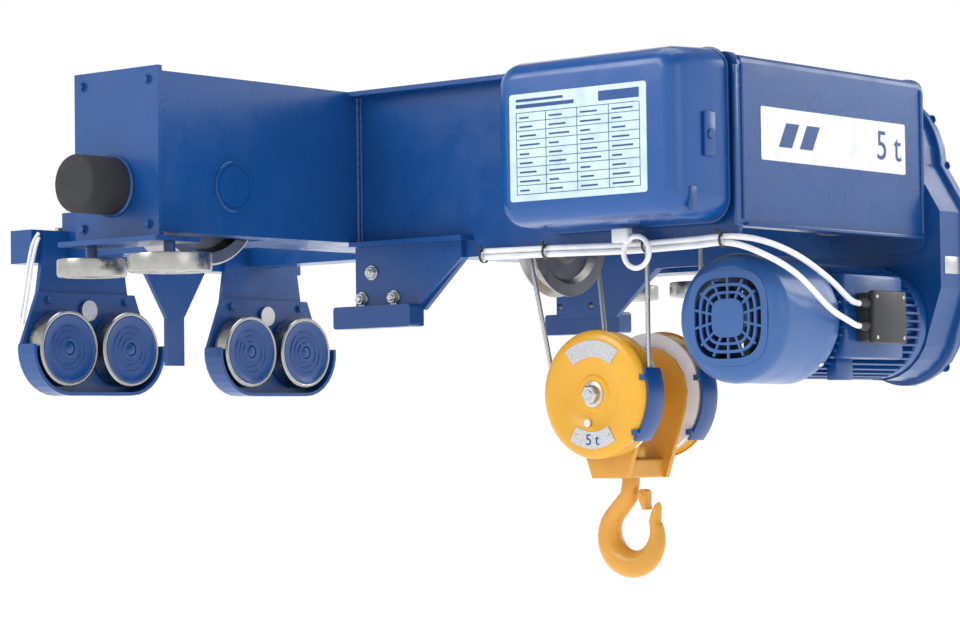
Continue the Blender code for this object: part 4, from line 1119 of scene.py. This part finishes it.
def make_return_sheave():
    centre = middle("return_sheave")
    half, floor, rim = 0.022, 0.1120, 0.1265
    right = [(0.0165, half), (0.048, half), (0.056, 0.009), (0.090, 0.009), (0.100, half), (rim, half),
             (rim, 0.0185),
             (floor + 0.006, 0.0100), (floor + 0.0015, 0.0060), (floor, 0.0001)]
    shape = bmesh.new()
    lathe(shape, right + [(r, -a) for r, a in reversed(right[:-1])], "X", centre, 112, True)
    steel = machined("return_sheave_steel", "X", centre, colours().steel, 500.0, 0.30)
    settle("return_sheave_turned", shape, "upper_sheave", steel, ["return_sheave"])


def smooth_route(points, count):
    """A Catmull-Rom curve through the points, read evenly along each stretch."""
    route = []
    ends = [points[0]] + list(points) + [points[-1]]
    for a, b, c, d in zip(ends, ends[1:], ends[2:], ends[3:]):
        a, b, c, d = map(Vector, (a, b, c, d))
        for index in range(count):
            t = index / count
            route.append(0.5 * (2 * b + (c - a) * t + (2 * a - 5 * b + 4 * c - d) * t * t
                                + (3 * b - a - 3 * c + d) * t ** 3))
    return route + [Vector(points[-1])]


def lead_route(drop, end_z):
    """The route of one lead, laid out from the terminal box and the front beam."""
    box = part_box("terminal_box")[0]
    entry, low = box[0] + 0.027, box[1]
    y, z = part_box("control_box")[1][1] - 0.020, 0.018 - drop
    return [(entry - 0.664, y, z + 0.004), (entry - 0.434, y, z + 0.001), (entry - 0.284, y, z - 0.002),
            (entry - 0.134, y, z), (entry - 0.049, y + 0.004, z + 0.002),
            (entry - 0.010, y + 0.060, z - 0.006 - drop), (entry, y + 0.160, z - 0.030 - 2 * drop),
            (entry + 0.006, y + 0.260, end_z + 0.046 - drop), (entry + 0.004, low - 0.070, end_z + 0.008),
            (entry, low - 0.034, end_z), (entry, low - 0.0006, end_z)]


def make_leads():
    """White leads under the front beam, their ties, and the eye with its clamp."""
    for node, drop, end_z in (("power_cable", 0.0, -0.100), ("brake_cable", 0.0125, -0.145)):
        cable(node + "_sheath", smooth_route(lead_route(drop, end_z), 5), 0.0060, "trolley", "sheath",
              [node])
    ties = bmesh.new()
    for x in (0.475, 0.640, 0.890, 1.075):
        lathe(ties, [(0.0136, -0.0030), (0.0150, -0.0024), (0.0150, 0.0024), (0.0136, 0.0030)], "X",
              (x, -0.353, 0.013),
              40, True)
        slab(ties, (x - 0.004, -0.372, 0.024), (x + 0.004, -0.366, 0.034), 0.001)
        slab(ties, (x - 0.0022, -0.367, 0.020), (x + 0.0022, -0.3345, 0.0225), 0.0005)
    settle("cable_ties", ties, "trolley", "black")
    eye = bmesh.new()
    centre = (0.890, -0.385, -0.002)
    profile = [(0.031 + 0.0052 * cos(radians(a)), 0.0052 * sin(radians(a))) for a in range(0, 360, 30)]
    lathe(eye, profile, "Y", centre, 64, True)
    slab(eye, (centre[0] - 0.054, centre[1] - 0.010, centre[2] + 0.020),
         (centre[0] - 0.016, centre[1] + 0.010,
                                                                         centre[2] + 0.048), 0.003)
    slab(eye, (centre[0] - 0.048, centre[1] + 0.008, centre[2] + 0.024), (centre[0] - 0.030, -0.3335,
                                                                         centre[2] + 0.040), 0.002)
    settle("lifting_eye_and_clamp", eye, "trolley", "sheath")
    start = (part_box("counter_frame")[0][0] + 0.10, -0.446, 0.125)
    for index, shift in enumerate((0.0, 0.012)):
        points = [(start[0], start[1] - 0.002, start[2] - shift)]
        points += [(x, y, z - 0.2 * shift) for x, y, z in ((-0.786 + shift, -0.462, 0.100),
                                                           (-0.784 + shift, -0.478, 0.050),
                                                           (-0.786 + shift, -0.490, -0.020),
                                                           (-0.788 + shift, -0.500, -0.070),
                                                           (-0.806 + shift, -0.486, -0.080))]
        cable(f"sensor_lead_{index + 1}", smooth_route(points, 5), 0.0040, "trolley", "sheath")


# ---------------------------------------------------------------- finishes and stage

def finish_frame():
    """Finishes for the frame's own solids that stay in sight."""
    tone = colours()
    painted = ["main_beam", "end_plate_front", "end_plate_rear", "guide_bracket_front", "guide_bracket_rear",
               "cross_beam_front", "cross_beam_rear", "claw_front", "claw_rear", "counter_frame",
               "drum_housing",
               "gearbox_housing", "gearbox_cover", "sheave_carrier", "rope_anchor", "bogie_front",
               "bogie_rear"]
    kinds = {name: "blue" for name in painted}
    kinds.update({"block_yoke": "hook", "control_box": "black", "fan": "black", "bogie_pin_front": "zinc",
                  "bogie_pin_rear": "zinc", "drum_gear": "steel", "countershaft": "steel",
                  "motor_rotor": "steel"})
    for name, kind in kinds.items():
        attach_finish(name, FINISHES[kind])
    attach_finish("drum", machined("drum_steel", "Y", tuple(middle("drum")), tone.steel, 260.0, 0.34))


def attach_finish(name, material):
    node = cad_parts[name]
    if not node.material_slots:
        node.data.materials.append(material)
    for slot in node.material_slots:
        slot.material = material


def make_stage():
    """Wide pale floor below the lowest hook position, soft lights and the camera."""
    shape = bmesh.new()
    bmesh.ops.create_grid(shape, x_segments=8, y_segments=8, size=140.0)
    bmesh.ops.translate(shape, vec=(0, 0, -7.4), verts=shape.verts)
    mesh = bpy.data.meshes.new("floor")
    shape.to_mesh(mesh)
    shape.free()
    floor = bpy.data.objects.new("floor", mesh)
    bpy.context.scene.collection.objects.link(floor)
    pale = Finish("pale_floor", 0.9)
    pale.set("Base Color", pale.mix(pale.noise(0.6), (0.90, 0.90, 0.91), (0.93, 0.93, 0.94)))
    pale.set("Emission Color", (0.96, 0.96, 0.97, 1))
    pale.set("Emission Strength", 0.90)
    floor.data.materials.append(pale.material)
    world = bpy.data.worlds.new("studio")
    world.use_nodes = True
    nodes, links = world.node_tree.nodes, world.node_tree.links
    height = nodes.new("ShaderNodeSeparateXYZ")
    links.new(nodes.new("ShaderNodeTexCoord").outputs["Generated"], height.inputs[0])
    fade = nodes.new("ShaderNodeMapRange")
    for socket, value in (("From Min", 0.28), ("From Max", 0.62), ("To Min", 1.02), ("To Max", 0.32)):
        fade.inputs[socket].default_value = value
    links.new(height.outputs["Z"], fade.inputs["Value"])
    nodes["Background"].inputs["Color"].default_value = (1, 1, 1, 1)
    links.new(fade.outputs["Result"], nodes["Background"].inputs["Strength"])
    bpy.context.scene.world = world
    for name, place, power, size, tint in (
            ("key", (-1.6, -4.2, 2.6), 105.0, 2.4, (1.0, 0.98, 0.96)),
            ("fill", (4.6, -1.2, 1.2), 16.0, 2.6, (0.96, 0.98, 1.0)),
            ("top", (0.4, 0.2, 3.4), 60.0, 3.0, (1.0, 1.0, 1.0)),
            ("rim", (2.6, 3.6, 1.8), 40.0, 2.0, (1.0, 1.0, 1.0))):
        light = bpy.data.lights.new(name, "AREA")
        light.energy = power
        light.size = size
        light.color = tint
        lamp = bpy.data.objects.new(name, light)
        bpy.context.scene.collection.objects.link(lamp)
        lamp.location = place
        lamp.rotation_euler = (Vector((0.4, 0.0, 0.05)) - Vector(place)).to_track_quat("-Z", "Y").to_euler()
    make_camera()


def make_camera():
    """Low, long-lens view from the front right, tipped up a little."""
    azimuth, tilt, roll = radians(40.308), radians(2.282), radians(-0.781)
    camera = bpy.data.cameras.new("camera")
    camera.lens = 110.98
    camera.sensor_width = 36.0
    camera.clip_end = 100.0
    viewer = bpy.data.objects.new("camera", camera)
    bpy.context.scene.collection.objects.link(viewer)
    viewer.matrix_world = (Matrix.Translation((4.371, -4.961, -0.3586)) @ Matrix.Rotation(azimuth, 4, "Z")
                           @ Matrix.Rotation(pi / 2 + tilt, 4, "X") @ Matrix.Rotation(roll, 4, "Z"))
    bpy.context.scene.camera = viewer
    bpy.context.scene.view_settings.view_transform = "Standard"


# ---------------------------------------------------------------- operators

class HOIST_OT_finishes(bpy.types.Operator):
    """Make every material and give the solids of the frame theirs"""
    bl_idname = "hoist.finishes"
    bl_label = "Finishes"
    bl_options = {"REGISTER", "UNDO"}

    def execute(self, context):
        make_finishes()
        finish_frame()
        return {"FINISHED"}


class HOIST_OT_stage(bpy.types.Operator):
    """Add the floor, the lights and the camera"""
    bl_idname = "hoist.stage"
    bl_label = "Stage"
    bl_options = {"REGISTER", "UNDO"}

    def execute(self, context):
        make_stage()
        return {"FINISHED"}


class HOIST_OT_beam(bpy.types.Operator):
    """Add the welds, caps and bolts of the main beam"""
    bl_idname = "hoist.beam"
    bl_label = "Beam"
    bl_options = {"REGISTER", "UNDO"}

    def execute(self, context):
        make_beam_details()
        return {"FINISHED"}


class HOIST_OT_buffers(bpy.types.Operator):
    """Add the rubber buffers and their cups"""
    bl_idname = "hoist.buffers"
    bl_label = "Buffers"
    bl_options = {"REGISTER", "UNDO"}

    def execute(self, context):
        make_buffers()
        return {"FINISHED"}


class HOIST_OT_wheels(bpy.types.Operator):
    """Add the two load wheels"""
    bl_idname = "hoist.wheels"
    bl_label = "Load wheels"
    bl_options = {"REGISTER", "UNDO"}

    def execute(self, context):
        make_load_wheels()
        return {"FINISHED"}


class HOIST_OT_rollers(bpy.types.Operator):
    """Add the four guide rollers"""
    bl_idname = "hoist.rollers"
    bl_label = "Guide rollers"
    bl_options = {"REGISTER", "UNDO"}

    def execute(self, context):
        make_guide_rollers()
        return {"FINISHED"}


class HOIST_OT_bogies(bpy.types.Operator):
    """Add the counter wheels and the bolts of the bogies"""
    bl_idname = "hoist.bogies"
    bl_label = "Bogies"
    bl_options = {"REGISTER", "UNDO"}

    def execute(self, context):
        make_bogies()
        return {"FINISHED"}


class HOIST_OT_claw(bpy.types.Operator):
    """Add the bolts and small pieces of the claws"""
    bl_idname = "hoist.claw"
    bl_label = "Claw"
    bl_options = {"REGISTER", "UNDO"}

    def execute(self, context):
        make_claw_pieces()
        return {"FINISHED"}


class HOIST_OT_housing(bpy.types.Operator):
    """Add the label, lips and welds of the drum housing"""
    bl_idname = "hoist.housing"
    bl_label = "Drum housing"
    bl_options = {"REGISTER", "UNDO"}

    def execute(self, context):
        make_housing()
        return {"FINISHED"}


class HOIST_OT_gearbox(bpy.types.Operator):
    """Add the flange, bolts and caps of the gearbox"""
    bl_idname = "hoist.gearbox"
    bl_label = "Gearbox"
    bl_options = {"REGISTER", "UNDO"}

    def execute(self, context):
        make_gearbox()
        return {"FINISHED"}


class HOIST_OT_cover(bpy.types.Operator):
    """Add the pressed cover and its rating plate"""
    bl_idname = "hoist.cover"
    bl_label = "Control cover"
    bl_options = {"REGISTER", "UNDO"}

    def execute(self, context):
        make_control_cover()
        return {"FINISHED"}


class HOIST_OT_motor(bpy.types.Operator):
    """Add the ribbed motor, its cowl and its terminal box"""
    bl_idname = "hoist.motor"
    bl_label = "Motor"
    bl_options = {"REGISTER", "UNDO"}

    def execute(self, context):
        make_motor()
        return {"FINISHED"}


class HOIST_OT_block(bpy.types.Operator):
    """Add the covers, sheaves and rope guards"""
    bl_idname = "hoist.block"
    bl_label = "Bottom block"
    bl_options = {"REGISTER", "UNDO"}

    def execute(self, context):
        make_block()
        return {"FINISHED"}


class HOIST_OT_hook(bpy.types.Operator):
    """Add the forged hook and its latch"""
    bl_idname = "hoist.hook"
    bl_label = "Hook"
    bl_options = {"REGISTER", "UNDO"}

    def execute(self, context):
        make_hook()
        return {"FINISHED"}


class HOIST_OT_sheave(bpy.types.Operator):
    """Add the upper sheave"""
    bl_idname = "hoist.sheave"
    bl_label = "Return sheave"
    bl_options = {"REGISTER", "UNDO"}

    def execute(self, context):
        make_return_sheave()
        return {"FINISHED"}


class HOIST_OT_ropes(bpy.types.Operator):
    """Add the stranded rope falls and the rope round each sheave"""
    bl_idname = "hoist.ropes"
    bl_label = "Ropes"
    bl_options = {"REGISTER", "UNDO"}

    def execute(self, context):
        make_ropes()
        return {"FINISHED"}


class HOIST_OT_leads(bpy.types.Operator):
    """Add the leads, their ties and the eye with its clamp"""
    bl_idname = "hoist.leads"
    bl_label = "Leads"
    bl_options = {"REGISTER", "UNDO"}

    def execute(self, context):
        make_leads()
        return {"FINISHED"}


OPERATORS = (
    HOIST_OT_finishes, HOIST_OT_stage, HOIST_OT_beam, HOIST_OT_buffers, HOIST_OT_wheels,
    HOIST_OT_rollers, HOIST_OT_bogies, HOIST_OT_claw, HOIST_OT_housing, HOIST_OT_gearbox,
    HOIST_OT_cover, HOIST_OT_motor, HOIST_OT_block, HOIST_OT_hook, HOIST_OT_sheave, HOIST_OT_ropes,
    HOIST_OT_leads
)


class HOIST_PT_panel(bpy.types.Panel):
    """Lists the hoist's sizes, colours and pieces."""
    bl_label = "Wire rope hoist"
    bl_idname = "HOIST_PT_panel"
    bl_space_type = "VIEW_3D"
    bl_region_type = "UI"
    bl_category = "Hoist"

    def draw(self, context):
        for group in (context.scene.hoist_sizes, context.scene.hoist_colours):
            for key in group.__annotations__:
                self.layout.prop(group, key)
        for kind in OPERATORS:
            self.layout.operator(kind.bl_idname)


CLASSES = (HoistSizes, HoistColours, HOIST_PT_panel) + OPERATORS


def register():
    for kind in CLASSES:
        bpy.utils.register_class(kind)
    bpy.types.Scene.hoist_sizes = bpy.props.PointerProperty(type=HoistSizes)
    bpy.types.Scene.hoist_colours = bpy.props.PointerProperty(type=HoistColours)


def unregister():
    del bpy.types.Scene.hoist_colours
    del bpy.types.Scene.hoist_sizes
    for kind in reversed(CLASSES):
        bpy.utils.unregister_class(kind)


def main():
    register()
    for kind in OPERATORS:
        getattr(bpy.ops.hoist, kind.bl_idname.split(".")[1])()
    bpy.context.view_layer.update()


if __name__ == "__main__":
    main()
